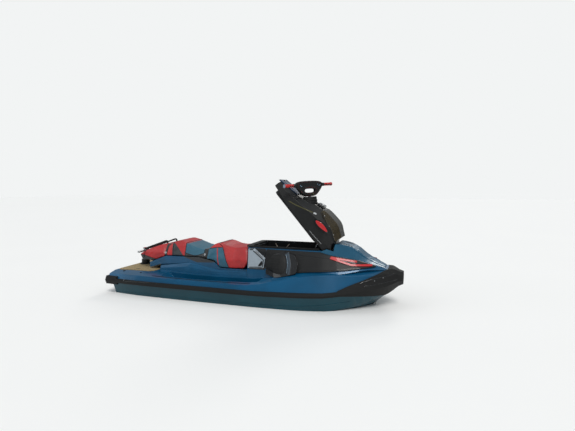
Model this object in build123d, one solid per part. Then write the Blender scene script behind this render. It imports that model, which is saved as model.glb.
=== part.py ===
# Three-seat personal watercraft, afloat, its front storage lid swung open.
# Frame: origin amidships on the centre line at the waterline, +X to the bow, +Y to port, +Z up.
# Lengths are millimetres, angles are degrees.
import os
from math import cos, hypot, radians, sin
from build123d import *

os.makedirs("parts", exist_ok=True)

# Shared gaps: between shaped faces of one body, round moving pieces, round a pin or shaft.
seatGap = 0.4
runningGap = 7.0
pinGap = 0.05
# Extra stations worked out between each two of a table.
fairingSteps = 3

# Master hull and deck form, one row per station.
# Columns: x, keel z, chine y, chine z, rail y, rail z, gunwale y, gunwale z, deck y, deck z.
formStations = [
    (-1717.0, -205.0, 470.0, -50.0, 560.0, 165.0, 530.0, 236.0, 430.0, 262.0),
    (-1300.0, -245.0, 520.0, -58.0, 594.0, 165.0, 566.0, 246.0, 440.0, 270.0),
    (-600.0, -268.0, 540.0, -55.0, 605.0, 165.0, 585.0, 236.0, 470.0, 250.0),
    (100.0, -270.0, 540.0, -48.0, 605.0, 165.0, 580.0, 240.0, 470.0, 262.0),
    (600.0, -266.0, 520.0, -32.0, 594.0, 170.0, 525.0, 335.0, 420.0, 372.0),
    (950.0, -235.0, 455.0, -5.0, 545.0, 186.0, 465.0, 378.0, 330.0, 430.0),
    (1250.0, -110.0, 290.0, 45.0, 405.0, 214.0, 350.0, 372.0, 215.0, 460.0),
    (1500.0, 95.0, 135.0, 140.0, 255.0, 255.0, 222.0, 370.0, 128.0, 430.0),
    (1610.0, 196.0, 78.0, 222.0, 168.0, 286.0, 146.0, 362.0, 84.0, 398.0),
    (1690.0, 268.0, 30.0, 284.0, 66.0, 312.0, 58.0, 342.0, 34.0, 360.0),
]
transomX = -1650.0
trayDepth = 65.0
trayHalfWidth = 548.0
trayRearX, trayFrontX = -1480.0, 300.0
# Joint line of hull and deck, columns: x, z.
bondLine = [
    (-1800.0, 165.0), (200.0, 165.0), (950.0, 186.0), (1250.0, 214.0), (1500.0, 255.0), (1800.0, 325.0),
]

# Black guard band round the joint of hull and deck, and the bow and stern bumpers.
guardProud = 22.0
guardHeight = 48.0
# Outline of the bow bumper seen from the side, columns: x, z.
bowBumperOutline = [
    (1090.0, 180.0), (1250.0, 168.0), (1430.0, 150.0), (1560.0, 140.0), (1700.0, 215.0), (1760.0, 330.0),
    (1760.0, 430.0), (1620.0, 430.0), (1540.0, 415.0), (1350.0, 335.0), (1180.0, 272.0), (1090.0, 232.0),
]
sternBumperX = -1570.0
sternBumperLow, sternBumperHigh = 118.0, 214.0

# Raised superstructure over the storage bin and the bow.
# Columns: x, base y, base z, shoulder y, shoulder z, crown y, crown z.
superStations = [
    (14.0, 322.0, 236.0, 286.0, 560.0, 270.0, 600.0),
    (250.0, 332.0, 268.0, 296.0, 560.0, 278.0, 600.0),
    (440.0, 442.0, 300.0, 318.0, 560.0, 288.0, 600.0),
    (870.0, 455.0, 350.0, 335.0, 560.0, 300.0, 600.0),
    (1010.0, 425.0, 372.0, 320.0, 556.0, 190.0, 668.0),
    (1180.0, 370.0, 398.0, 285.0, 530.0, 130.0, 636.0),
    (1350.0, 285.0, 425.0, 218.0, 488.0, 90.0, 522.0),
    (1525.0, 150.0, 412.0, 105.0, 430.0, 40.0, 440.0),
]
superRootDrop = 60.0
# Seam between bow hood and black side panels, columns: x, z.
hoodSeam = [
    (872.0, 590.0), (981.0, 566.0), (1100.0, 550.0), (1260.0, 520.0), (1430.0, 464.0), (1600.0, 400.0),
]
panelThickness = 14.0
# Lower edge of the black side panels from rear to front, columns: x, z.
panelLowEdge = [
    (250.0, 330.0), (520.0, 368.0), (800.0, 398.0), (1150.0, 425.0), (1300.0, 444.0), (1440.0, 452.0),
]
panelTopZ = 594.0
trimThickness = 7.0
# Centre line of the red check mark, columns: x, z.
checkMark = [(985.0, 546.0), (1206.0, 480.0), (1405.0, 472.0)]
checkTopBar = [(990.0, 552.0), (1255.0, 510.0)]
checkWidth = 18.0
kneeThickness = 46.0
kneeOutline = [
    (262.0, 330.0), (272.0, 450.0), (350.0, 545.0), (470.0, 586.0), (600.0, 560.0), (650.0, 470.0),
    (645.0, 380.0), (560.0, 352.0), (400.0, 318.0),
]
ridgeWidth = 26.0
ridgeThickness = 8.0
ridgeLine = [(520.0, 580.0), (560.0, 470.0), (566.0, 362.0)]

# Light panels on the trunk beside the rider's shins, columns: x, z.
consoleOutline = [(24.0, 588.0), (92.0, 588.0), (232.0, 486.0), (218.0, 384.0), (24.0, 372.0)]
consoleThickness, consoleBarThickness, consoleBarWidth = 8.0, 18.0, 22.0

# Storage bin and its rim.
binRearX, binFrontX = 52.0, 840.0
binHalfWidth = 236.0
binCorner = 45.0
rimCorner = 60.0
binFloorZ = 225.0
binWall = 5.0
trunkTopZ = 600.0
rimHeight = 20.0
rimWidth = 24.0
rimRearWidth, rimFrontWidth = 78.0, 14.0

# Lid hinge, set a little above the bin rim just behind the bow hood.
hingeX, hingeZ = 871.0, 664.0
lidOpenAngle = 50.0
hingePinRadius = 8.0
hingeLugY, hingeLugWidth = 90.0, 18.0
hingeLugRadius = 18.0
hoodRearX = 1000.0
notchRearX = 857.0
notchFloorZ = 545.0
notchHalfWidth = 268.0

# Footwells and seat pedestal.
wellRearX, wellFrontX = -1020.0, 240.0
wellInnerY, wellOuterY = 328.0, 522.0
wellFloorZ = 125.0
wellRamp = 170.0
wellCorner = 40.0
matThickness = 6.0
matMargin = 12.0
# Columns: x, foot y, shoulder y, top y, top z.
pedestalStations = [
    (-1180.0, 292.0, 262.0, 236.0, 335.0),
    (-760.0, 322.0, 292.0, 262.0, 378.0),
    (-360.0, 308.0, 284.0, 258.0, 318.0),
    (14.0, 320.0, 290.0, 262.0, 318.0),
]
pedestalFootZ = 110.0
pedestalShoulderDrop = 45.0
platformZ = 271.0
platformMatRear, platformMatFront = -1700.0, -1190.0
platformMatHalfWidth = 410.0

# Seats, outlines seen from the side, columns: x, z.
seatBaseTop = [
    (-20.0, 338.0), (-350.0, 338.0), (-440.0, 410.0), (-640.0, 448.0), (-1100.0, 440.0), (-1330.0, 352.0),
]
seatBaseHalfWidth = 262.0
driverTop = [
    (-40.0, 342.0), (10.0, 420.0), (10.0, 510.0), (-24.0, 596.0),
    (-130.0, 578.0), (-270.0, 578.0), (-400.0, 616.0), (-548.0, 552.0),
]
passengerTop = [(-576.0, 540.0), (-640.0, 538.0), (-800.0, 582.0), (-950.0, 624.0), (-1106.0, 558.0)]
rearPadOutline = [
    (-1134.0, 572.0), (-1160.0, 578.0), (-1500.0, 452.0), (-1515.0, 425.0), (-1480.0, 372.0), (-1345.0, 362.0),
]
seatLowHalfWidth, seatLowZ = 282.0, 320.0
seatTopHalfWidth, seatTopZ = 165.0, 640.0
rearLowHalfWidth, rearLowZ = 235.0, 340.0
rearTopHalfWidth, rearTopZ = 130.0, 600.0
strapWidth = 27.3
strapPlaces = (-562.0, -1120.0)

# Retractable ski pylon behind the seat and the grab rail over the rear pad.
pylonX = -1590.0
pylonRadius = 24.0
pylonTopZ = 470.0
pylonFootZ = 92.0
pylonCollarRadius, pylonCollarHeight = 52.0, 60.0
pylonHandleLength, pylonHandleRadius = 150.0, 13.0
railRadius = 10.0
railBend = 18.0
# Front and rear bends and rear foot of the rail, as x and z.
railFront, railRear = (-1176.0, 610.0), (-1528.0, 486.0)
railHalfWidth = 100.0
railFootX, railFootZ = -1476.0, 503.0

# Engine bay and engine.
engineLength, engineWidth, engineHeight = 700.0, 420.0, 400.0
engineRearX = -690.0
engineFootZ = -128.0
engineAir = 25.0
engineFootHeight = 30.0
engineFootWidth = 60.0
couplingRadius = 32.0

# Jet pump on its own axis, low in the stern.
pumpZ = -92.0
impellerRadius = 79.0
tipGap = 0.7
pumpWall = 12.0
flangeWidth = 14.0
pumpFrontX, statorFrontX, statorRearX, coneRearX, outletRearX = -1215.0, -1325.0, -1410.0, -1490.0, -1545.0
outletRadius = 44.0
hubRadius = 34.0
shaftRadius = 14.0
shaftAir = 6.0
shaftSeat = 32.0
impellerBlades, statorVanes = 4, 9
bladeThickness, vaneThickness = 5.0, 4.0
bladeTwist = 62.0
tunnelHalfWidth = 150.0
tunnelTopZ = 72.0
ductRadius = 76.0
bearingX = -768.0
bearingLength = 60.0
bearingRadius = 30.0
grateFrontX, grateRearX = -700.0, -1100.0
grateBarSpacing, grateBarWidth, grateBarDepth = 38.0, 9.0, 14.0
ridePlateZ = -214.0
ridePlateThickness = 8.0
ridePlateFlange = 62.0
ridePlateStrakes = (-90.0, 0.0, 90.0)

# Steering nozzle and reverse bucket.
nozzlePivotX = -1538.0
nozzleRearX = -1668.0
nozzleWall = 6.0
nozzleInnerRadius = 66.0
nozzleExitRadius = 44.0
nozzleRim = 10.0
nozzleArmGap = 6.0
pivotArmThickness = 13.0
nozzlePinRadius = 6.0
steerLimit = 26.0
bucketPivotX = -1545.0
bucketRadius = 148.0
bucketHalfWidth = 132.0
bucketWall = 6.0
bucketStowAngle = 80.0
bucketHalfArc = 30.0
bucketArmGap = 5.0

# Boarding step folded up behind the transom.
stepHingeX, stepHingeZ = -1682.0, -40.0
stepHalfWidth = 205.0
stepLength = 150.0
stepTubeRadius = 10.0

# Lid, in the closed position, one row per station.
# Columns: x, low y, low z, shoulder y, shoulder z, crown y, crown z.
lidStations = [
    (12.0, 165.0, 640.0, 150.0, 682.0, 118.0, 706.0),
    (300.0, 236.0, 628.0, 208.0, 732.0, 122.0, 772.0),
    (400.0, 246.0, 628.0, 218.0, 752.0, 122.0, 806.0),
    (480.0, 250.0, 628.0, 226.0, 772.0, 122.0, 852.0),
    (640.0, 252.0, 628.0, 228.0, 796.0, 122.0, 896.0),
    (780.0, 252.0, 628.0, 224.0, 806.0, 116.0, 904.0),
    (928.0, 246.0, 628.0, 206.0, 770.0, 96.0, 842.0),
]
lidWall = 6.0
lidUndersideZ = 628.0
linerThickness = 7.0
linerLift = 3.0
linerFrontX = 908.0
lidOpenDrop = 60.0
lipOutline = [(926.0, 634.0), (958.0, 634.0), (974.0, 660.0), (966.0, 700.0), (926.0, 742.0)]
lipHalfWidth = 225.0
linerRibDepth, linerRibWidth = 34.0, 12.0
linerRibRearX, linerRibFrontX, linerRibHalfWidth = 70.0, 800.0, 182.0
deflectorThickness = 7.0
deflectorOutline = [(578.0, 860.0), (900.0, 790.0), (960.0, 790.0), (960.0, 960.0), (578.0, 960.0)]
podThickness = 22.0
podOutline = [
    (604.0, 768.0), (640.0, 806.0), (720.0, 824.0), (796.0, 812.0),
    (812.0, 790.0), (740.0, 764.0), (660.0, 752.0),
]
gloveRearX, gloveFrontX = 50.0, 222.0
gloveHalfWidth = 92.0
gloveFloorZ = 648.0
gloveWall = 4.0
doorThickness = 11.0
doorRearX, doorFrontX = -18.0, 246.0
doorHalfWidth = 118.0
doorGap = 0.35
doorHingeRadius = 5.0
gaugeX, gaugeZ = 512.0, 880.0
gaugeWidth, gaugeLength, gaugeHeight = 130.0, 84.0, 26.0

# Steering, in the lid's closed position: the column leans back from the vertical by the rake.
columnRake = 54.4
barCentreX, barCentreZ = 234.0, 910.0
barTurn = 29.0
barRadius = 11.0
barHalfLength = 378.0
gripRadius, gripLength = 17.0, 122.0
endRingRadius, endRingLength = 21.0, 9.0
padThickness = 46.0
# Outline of the padded bar cover across the column, columns: y, height along the column.
padOutline = [
    (62.0, -130.0), (96.0, -108.0), (150.0, -60.0), (176.0, -16.0), (168.0, 28.0), (112.0, 43.0),
]
padHoleHalfWidth, padHoleLow, padHoleHigh = 82.0, -88.0, -42.0
postTop, postRadius = -100.0, 18.0
columnReach = 160.0
columnBaseRadius, columnBaseTop, columnBaseFoot = 44.0, -138.0, -250.0
columnBaseSpread = 20.0
leverLength, leverRadius = 104.0, 5.0

# Gas strut between the bin wall and the lid.
strutY = 204.0
strutFoot = (560.0, 330.0)
strutEyeClosed = (760.0, 612.0)
strutTubeRadius, strutRodRadius = 9.0, 4.0
strutTubeLength = 262.0
strutEyeRadius = 9.0
strutEyeWidth = 10.0
strutEyeGap = 0.8  # the lug's pin ends beside the eye, which runs past it as the lid moves
strutPinRadius = 4.0

# Small loops of webbing under the lid.
loopPlaces = ((660.0, 60.0), (742.0, -60.0))
loopDrop, loopWidth = 112.0, 22.0

# Tow eyes.
eyeRod, eyeRadius = 5.0, 18.0
eyeStand, eyeLegs = 14.0, 40.0
bowEyeX, bowEyeAngle = 1400.0, 35.0
sternEyeY, sternEyeZ = 330.0, 60.0
# Accessory sockets in the platform.
socketX, socketY, socketRadius, socketDepth = -1450.0, 330.0, 14.0, 30.0


def growRing(ring, grow):
    # Move every side of a counter-clockwise ring outwards by the same distance, corners mitred.
    grown = []
    for i, (y, z) in enumerate(ring):
        ay, az = ring[i - 1]
        by, bz = ring[(i + 1) % len(ring)]
        runIn, runOut = hypot(y - ay, z - az), hypot(by - y, bz - z)
        inY, inZ = (z - az) / runIn, -(y - ay) / runIn
        outY, outZ = (bz - z) / runOut, -(by - y) / runOut
        scale = grow / (1.0 + inY * outY + inZ * outZ)
        grown.append((y + (inY + outY) * scale, z + (inZ + outZ) * scale))
    return grown


def sectionFace(x, points, grow=0.0):
    # Symmetric closed section in a plane of constant x, from its half points, keel first.
    ring = list(points) + [(-y, z) for y, z in reversed(points) if y > 0.01]
    face = make_face(Polyline(*growRing(ring, grow), close=True))
    return Plane(origin=(x, 0, 0), x_dir=(0, 1, 0), z_dir=(1, 0, 0)) * face


def gentleSlope(before, after):
    # Slope at a station that never lets the curve pass beyond its neighbours.
    return 0.0 if before * after <= 0 else 2 * before * after / (before + after)


def faired(table, steps=fairingSteps):
    # Rows between the given stations on a smooth curve through them, column by column.
    rows = []
    for i in range(len(table) - 1):
        p0, p1 = table[max(i - 1, 0)], table[i]
        p2, p3 = table[i + 1], table[min(i + 2, len(table) - 1)]
        before, span, after = p1[0] - p0[0], p2[0] - p1[0], p3[0] - p2[0]
        for step in range(steps):
            t = step / steps
            row = []
            for a, b, c, d in zip(p0, p1, p2, p3):
                slopeIn = gentleSlope((b - a) / before, (c - b) / span) if before else (c - b) / span
                slopeOut = gentleSlope((c - b) / span, (d - c) / after) if after else (c - b) / span
                hermite = (2 * t**3 - 3 * t**2 + 1) * b + (t**3 - 2 * t**2 + t) * span * slopeIn
                hermite += (3 * t**2 - 2 * t**3) * c + (t**3 - t**2) * span * slopeOut
                row.append(hermite)
            rows.append(tuple(row))
    return rows + [table[-1]]


def skin(rings, grow):
    # Ruled loft through rows of (x, half section), its two ends pushed out as well when it is grown.
    sections = []
    for i, (x, half) in enumerate(rings):
        shift = grow if i == len(rings) - 1 else 0.0
        shift = -grow if i == 0 else shift
        sections.append(sectionFace(x + shift, half, grow))
    return loft(sections, ruled=True)


def masterForm(grow=0.0):
    rings = []
    for x, keelZ, chineY, chineZ, railY, railZ, gunY, gunZ, deckY, deckZ in faired(formStations):
        rings.append((x, [(0.0, keelZ), (chineY, chineZ), (railY, railZ), (gunY, gunZ), (deckY, deckZ)]))
    return skin(rings, grow)


def superForm(grow=0.0):
    rings = []
    for x, baseY, baseZ, shoulderY, shoulderZ, crownY, crownZ in faired(superStations):
        root = (baseY * 0.5, baseZ - superRootDrop)
        rings.append((x, [root, (baseY, baseZ), (shoulderY, shoulderZ), (crownY, crownZ)]))
    return skin(rings, grow)


def lidForm(grow=0.0, drop=0.0):
    rings = []
    for x, lowY, lowZ, shoulderY, shoulderZ, crownY, crownZ in faired(lidStations):
        rings.append((x, [(lowY, lowZ - drop), (shoulderY, shoulderZ), (crownY, crownZ)]))
    return skin(rings, grow)


def sidePrism(points, halfWidth=800.0, corner=0.0):
    # A prism across the boat with the given outline in the XZ plane.
    line = FilletPolyline(*points, radius=corner, close=True) if corner else Polyline(*points, close=True)
    face = Plane.XZ * make_face(line)
    return extrude(face, amount=halfWidth, both=True)


def bandAlong(points, width):
    # Outline of a stripe of constant width centred on a line in the XZ plane.
    upper, lower = [], []
    for i, (x, z) in enumerate(points):
        ax, az = points[max(i - 1, 0)]
        bx, bz = points[min(i + 1, len(points) - 1)]
        run = hypot(bx - ax, bz - az)
        nx, nz = -(bz - az) / run, (bx - ax) / run
        upper.append((x + nx * width / 2, z + nz * width / 2))
        lower.append((x - nx * width / 2, z - nz * width / 2))
    return upper + lower[::-1]


def block(x0, x1, y0, y1, z0, z1):
    return Pos((x0 + x1) / 2, (y0 + y1) / 2, (z0 + z1) / 2) * Box(x1 - x0, y1 - y0, z1 - z0)


def rod(start, end, radius):
    # A round bar between two points.
    a, b = Vector(*start), Vector(*end)
    along = b - a
    place = Plane(origin=a, z_dir=along)
    return place * extrude(Circle(radius), amount=along.length)


def bothSides(shape):
    return [shape, shape.mirror(Plane.XZ)]


def fuse(shapes):
    whole = shapes[0]
    for shape in shapes[1:]:
        whole = whole + shape
    return whole


def belowBond(gap=0.0):
    line = [(x, z - gap) for x, z in bondLine]
    return sidePrism(line + [(bondLine[-1][0], -900.0), (bondLine[0][0], -900.0)])


def bondZ():
    return bondLine[0][1]


def roundedWell(x0, x1, halfWidth, z0, z1, corner):
    plan = RectangleRounded(x1 - x0, 2 * halfWidth, corner)
    return Pos((x0 + x1) / 2, 0, z0) * extrude(plan, amount=z1 - z0)


# Hull

def intakeDuct(gap=0.0):
    # Round throat at the pump that opens forward and down through the bottom.
    throat = Plane(origin=(pumpFrontX - 1, 0, pumpZ), z_dir=(1, 0, 0)) * Circle(ductRadius - gap)
    middle = Plane(origin=(pumpFrontX + 140, 0, pumpZ - 14), z_dir=(1, 0, -0.3)) * Circle(ductRadius - gap)
    low = Plane(origin=(pumpFrontX + 300, 0, pumpZ - 110), z_dir=(1, 0, -1.1)) * Circle(ductRadius - gap)
    mouth = Plane(origin=(pumpFrontX + 380, 0, pumpZ - 220), z_dir=(0.6, 0, -1)) * Circle(ductRadius - gap)
    return loft([throat, middle, low, mouth])


def engineBay(gap):
    return block(
        engineRearX - gap, engineRearX + engineLength + gap, -engineWidth / 2 - gap, engineWidth / 2 + gap,
        engineFootZ, engineFootZ + engineHeight + gap,
    )


def pylonBore(gap):
    return Pos(pylonX, 0, pylonFootZ - 5) * Cylinder(
        pylonRadius + gap, pylonTopZ, align=(Align.CENTER, Align.CENTER, Align.MIN)
    )


def makeHull(form):
    hull = form & belowBond()
    hull -= block(-1900, transomX, -800, 800, -400, 400)
    hull -= block(trayRearX, trayFrontX, -trayHalfWidth, trayHalfWidth, bondZ() - trayDepth, bondZ() + 200)
    hull -= block(transomX - 1, pumpFrontX, -tunnelHalfWidth, tunnelHalfWidth, -400, tunnelTopZ)
    hull -= intakeDuct()
    hull -= engineBay(engineAir)
    hull -= rod((bearingX - 10, 0, pumpZ), (engineRearX, 0, pumpZ), bearingRadius + seatGap)
    hull -= rod((pumpFrontX + 100, 0, pumpZ), (engineRearX, 0, pumpZ), shaftRadius + shaftAir)
    return hull - pylonBore(seatGap)


def makeIntakeGrate(form):
    # Fore-and-aft bars with a cross bar at each end, following the V of the bottom.
    bars = []
    for y in (-grateBarSpacing, 0.0, grateBarSpacing):
        bars.append(block(grateRearX, grateFrontX, y - grateBarWidth / 2, y + grateBarWidth / 2, -400, 0))
    middle = (grateRearX + grateFrontX) / 2
    bars.append(block(middle - 7, middle + 7, -2 * ductRadius, 2 * ductRadius, -400, 0))
    skinLayer = form - Pos(0, 0, grateBarDepth) * form
    return fuse(bars) & skinLayer & intakeDuct(seatGap)


# Deck

def footwell(margin=0.0, floorZ=wellFloorZ, depth=500.0):
    front = wellFrontX - margin
    rear = wellRearX + margin
    plan = make_face(FilletPolyline(
        (rear, wellInnerY + margin), (front, wellInnerY + 22 + margin), (front, wellOuterY - 14 - margin),
        (rear, wellOuterY - margin), radius=wellCorner, close=True,
    ))
    return Pos(0, 0, floorZ) * extrude(plan, amount=depth)


def wellRampPrism():
    return sidePrism([
        (wellRearX - 60, wellFloorZ - 90), (wellRearX - 60, 330), (wellRearX + wellRamp, wellFloorZ),
        (wellRearX + wellRamp, wellFloorZ - 90),
    ])


def makePedestal():
    sections = []
    for x, footY, shoulderY, topY, topZ in pedestalStations:
        half = [(footY, pedestalFootZ), (shoulderY, topZ - pedestalShoulderDrop), (topY, topZ)]
        sections.append(sectionFace(x, half))
    return loft(sections, ruled=True)


def hoodRegion(drop=0.0):
    seam = [(x, z - drop) for x, z in hoodSeam]
    return sidePrism(seam + [(hoodSeam[-1][0], 900.0), (hoodSeam[0][0], 900.0)])


def makeDeck(form, sup):
    deck = form - belowBond(-seatGap)
    deck += block(
        trayRearX + seatGap, trayFrontX - seatGap, -trayHalfWidth + seatGap, trayHalfWidth - seatGap,
        bondZ() - trayDepth + seatGap, bondZ() + 30,
    )
    deck += makePedestal()
    trunk = sup - hoodRegion(seatGap) - sidePrism(bowBumperOutline)
    for well in bothSides(footwell() - wellRampPrism()):
        deck -= well
        trunk -= well
    deck += trunk
    deck -= roundedWell(binRearX, binFrontX, binHalfWidth, binFloorZ, 800, binCorner)
    deck -= block(notchRearX, hoodRearX, -notchHalfWidth, notchHalfWidth, notchFloorZ, 800)
    deck -= engineBay(engineAir)
    deck -= pylonBore(seatGap)
    for side in (1, -1):
        deck -= Pos(socketX, side * socketY, platformZ - socketDepth) * Cylinder(
            socketRadius, 100, align=(Align.CENTER, Align.CENTER, Align.MIN)
        )
    return deck


def makeFootwellMats():
    plan = footwell(matMargin, wellFloorZ, matThickness) - sidePrism([
        (wellRearX - 60, 0), (wellRearX - 60, 330),
        (wellRearX + wellRamp + 10, 330), (wellRearX + wellRamp + 10, 0),
    ])
    return bothSides(plan)


def makePlatformMat(form):
    above = Pos(0, 0, seatGap) * form
    mat = Pos(0, 0, matThickness) * form
    region = roundedWell(platformMatRear, platformMatFront, platformMatHalfWidth, 200, 320, 60)
    region -= Pos(pylonX, 0, 200) * Cylinder(pylonCollarRadius + 24, 300)
    for side in (1, -1):
        region -= Pos(socketX, side * socketY, 200) * Cylinder(socketRadius + 12, 300)
    return (mat & region) - above


# Claddings taken from the grown master forms

def makeGuardBand(outer, inner):
    line = [(x, z - guardHeight / 2) for x, z in bondLine]
    line += [(x, z + guardHeight / 2) for x, z in reversed(bondLine)]
    band = (outer & sidePrism(line)) - inner
    band -= block(-1900, sternBumperX + seatGap, -800, 800, -400, 900)
    return band - sidePrism([(x - seatGap if x < 1100 else x, z) for x, z in bowBumperOutline])


def makeBowBumper(outer, inner):
    return (outer & sidePrism(bowBumperOutline)) - inner


def makeSternBumper(outer, inner):
    region = block(-1900, sternBumperX, -800, 800, sternBumperLow, sternBumperHigh)
    return (outer & region) - inner


def makeSidePanels(outer, inner, form):
    edge = panelLowEdge + [(x, z - seatGap) for x, z in reversed(hoodSeam[:-1])]
    edge += [(hoodSeam[0][0], panelTopZ), (panelLowEdge[0][0], panelTopZ)]
    return (outer & sidePrism(edge)) - inner - form


def makeKnees(outer, inner, form):
    return (outer & sidePrism(kneeOutline, corner=24)) - inner - form


def makeRidges(outer, inner, form):
    return (outer & sidePrism(bandAlong(ridgeLine, ridgeWidth))) - inner - form


def makeCheckTrims(outer, inner):
    low = outer & sidePrism(bandAlong(checkMark, checkWidth))
    top = outer & sidePrism(bandAlong(checkTopBar, checkWidth))
    return (low + top) - inner


def makeHood(sup, form):
    hood = (sup & hoodRegion()) - form
    return hood - block(hoodSeam[0][0] - 50, hoodRearX, -notchHalfWidth, notchHalfWidth, 300, 900)


# Bin

def makeBinLiner():
    outer = roundedWell(
        binRearX + seatGap, binFrontX - seatGap, binHalfWidth - seatGap,
        binFloorZ + seatGap, trunkTopZ, binCorner - seatGap,
    )
    inner = roundedWell(
        binRearX + binWall, binFrontX - binWall, binHalfWidth - binWall,
        binFloorZ + binWall, trunkTopZ + 9, binCorner - binWall,
    )
    return outer - inner


def makeBinRim():
    outer = roundedWell(
        binRearX - rimRearWidth, binFrontX + rimFrontWidth, binHalfWidth + rimWidth, trunkTopZ + seatGap,
        trunkTopZ + rimHeight, rimCorner,
    )
    inner = roundedWell(
        binRearX - 1, binFrontX + 1, binHalfWidth + 1, trunkTopZ - 9, trunkTopZ + 99, binCorner
    )
    return outer - inner


def makeConsoleSides(outer, bar, inner):
    # Light panel on each side of the trunk ahead of the seat, with a raised bar along its sloping edge.
    plate = outer & sidePrism(consoleOutline)
    edge = bar & sidePrism(bandAlong([consoleOutline[1], consoleOutline[2]], consoleBarWidth))
    return (plate + edge) - inner


def makeHingeBase():
    # Two lugs standing on the notch floor, bored for the lid's pin.
    lugs = []
    for y in (-hingeLugY, hingeLugY):
        web = sidePrism([
            (hingeX + 2, notchFloorZ + seatGap), (hingeX + 74, notchFloorZ + seatGap),
            (hingeX + hingeLugRadius, hingeZ),
            (hingeX - hingeLugRadius, hingeZ),
        ], hingeLugWidth / 2)
        eye = Pos(hingeX, 0, hingeZ) * Rot(90, 0, 0) * Cylinder(hingeLugRadius, hingeLugWidth)
        bore = Pos(hingeX, 0, hingeZ) * Rot(90, 0, 0) * Cylinder(hingePinRadius + pinGap, 60)
        lugs.append(Pos(0, y, 0) * (web + eye - bore))
    return lugs


# Seats

def seatSection(lowY, lowZ, topY, topZ, x0, x1, grow=0.0):
    half = [(lowY, lowZ), (lowY - 14, lowZ + 120), (topY, topZ)]
    face = sectionFace(x0, half, grow)
    return extrude(face, amount=x1 - x0, dir=(1, 0, 0))


def makeSeatBase():
    low = [(x, z + seatGap) for x, _, _, _, z in pedestalStations]
    low[0] = (-1330.0, platformZ + 18)
    low.insert(1, (pedestalStations[0][0], pedestalStations[0][4] + seatGap))
    outline = low[:1] + low[1:] + seatBaseTop
    return sidePrism(outline, seatBaseHalfWidth)


def makeDriverSeat(grow=0.0):
    under = [(x, z + seatGap) for x, z in seatBaseTop[:3]] + [(-548.0, 431.0)]
    section = seatSection(seatLowHalfWidth, seatLowZ, seatTopHalfWidth, seatTopZ, -600, 80, grow)
    return sidePrism(driverTop + under[::-1][:3]) & section


def makePassengerSeat(grow=0.0):
    under = [(-1106.0, 441.0), (-1100.0, 440.4), (-640.0, 448.4), (-576.0, 437.0)]
    section = seatSection(seatLowHalfWidth, seatLowZ, seatTopHalfWidth, seatTopZ, -1150, -500, grow)
    return sidePrism(passengerTop + under) & section


def makeRearPad():
    (x0, z0), (x1, z1) = seatBaseTop[-2:]
    frontX = rearPadOutline[0][0]
    under = [(x1, z1 + seatGap), (frontX, z0 + (z1 - z0) * (frontX - x0) / (x1 - x0) + seatGap)]
    section = seatSection(rearLowHalfWidth, rearLowZ, rearTopHalfWidth, rearTopZ, -1600, -1100)
    return sidePrism(rearPadOutline + under) & section


def makeStraps():
    # A band of webbing over the seat in each joint between two cushions.
    bands = []
    for x, low, lowY, lowZ, topY, topZ in (
        (strapPlaces[0], 452.0, seatLowHalfWidth, seatLowZ, seatTopHalfWidth, seatTopZ),
        (strapPlaces[1], 446.0, rearLowHalfWidth + 16, rearLowZ, rearTopHalfWidth + 16, rearTopZ),
    ):
        top = 545.0 if x == strapPlaces[0] else 572.0
        reach = lowY - 20
        outer = block(x - strapWidth / 2, x + strapWidth / 2, -reach, reach, low, top)
        outer &= seatSection(lowY, lowZ, topY, topZ, x - strapWidth, x + strapWidth)
        hollow = block(x - strapWidth, x + strapWidth, -reach + 60, reach - 60, low - 1, top - 60)
        bands.append(outer - hollow)
    return bands


def makeGrabRail():
    # Tube down both sides of the rear pad, joined behind it, on four feet that stand on the pad.
    front, rear = railFront, railRear
    half = railHalfWidth
    path = FilletPolyline(
        (front[0], half, front[1] - 60), (front[0], half, front[1]), (rear[0], half, rear[1]),
        (rear[0], -half, rear[1]), (front[0], -half, front[1]), (front[0], -half, front[1] - 60),
        radius=railBend,
    )
    rail = sweep(Plane(origin=path @ 0, z_dir=path % 0) * Circle(railRadius), path=path)
    for side in (1, -1):
        rail += rod((railFootX, side * half, railFootZ), (railFootX, side * half, railFootZ - 60), railRadius)
    return rail - Pos(0, 0, seatGap) * makeRearPad()


def makePylonBase():
    collar = Pos(pylonX, 0, platformZ + 1) * Cylinder(
        pylonCollarRadius, pylonCollarHeight, align=(Align.CENTER, Align.CENTER, Align.MIN)
    )
    flange = Pos(pylonX, 0, platformZ + 1) * Cylinder(
        pylonCollarRadius + 18, 8, align=(Align.CENTER, Align.CENTER, Align.MIN)
    )
    return collar + flange - pylonBore(pinGap)


def makePylonPost():
    post = Pos(pylonX, 0, pylonFootZ) * Cylinder(
        pylonRadius, pylonTopZ - pylonFootZ, align=(Align.CENTER, Align.CENTER, Align.MIN)
    )
    head = Pos(pylonX, 0, pylonTopZ) * Cylinder(
        pylonRadius + 9, 14, align=(Align.CENTER, Align.CENTER, Align.MIN)
    )
    handleZ = pylonTopZ - 22
    handle = Pos(pylonX, 0, handleZ) * Rot(90, 0, 0) * Cylinder(pylonHandleRadius, 2 * pylonHandleLength)
    return post + head + handle


# Jet pump

def twistedBlade(x0, x1, inner, outer, thickness, twist, turn):
    # Ruled blade between two radial sections, the rear one turned by the twist.
    sections = []
    steps = 5
    for i in range(steps + 1):
        t = i / steps
        plane = Plane(origin=(x0 + (x1 - x0) * t, 0, pumpZ), x_dir=(0, 1, 0), z_dir=(1, 0, 0))
        face = Rot(0, 0, turn + twist * t) * Pos((inner + outer) / 2, 0) * Rectangle(outer - inner, thickness)
        sections.append(plane * face)
    return loft(sections, ruled=True)


def revolved(points):
    # Turned part about the pump's axis, from an outline of x and radius.
    face = Plane.XZ * make_face(Polyline(*points, close=True))
    return Pos(0, 0, pumpZ) * revolve(face, Axis.X)


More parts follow.
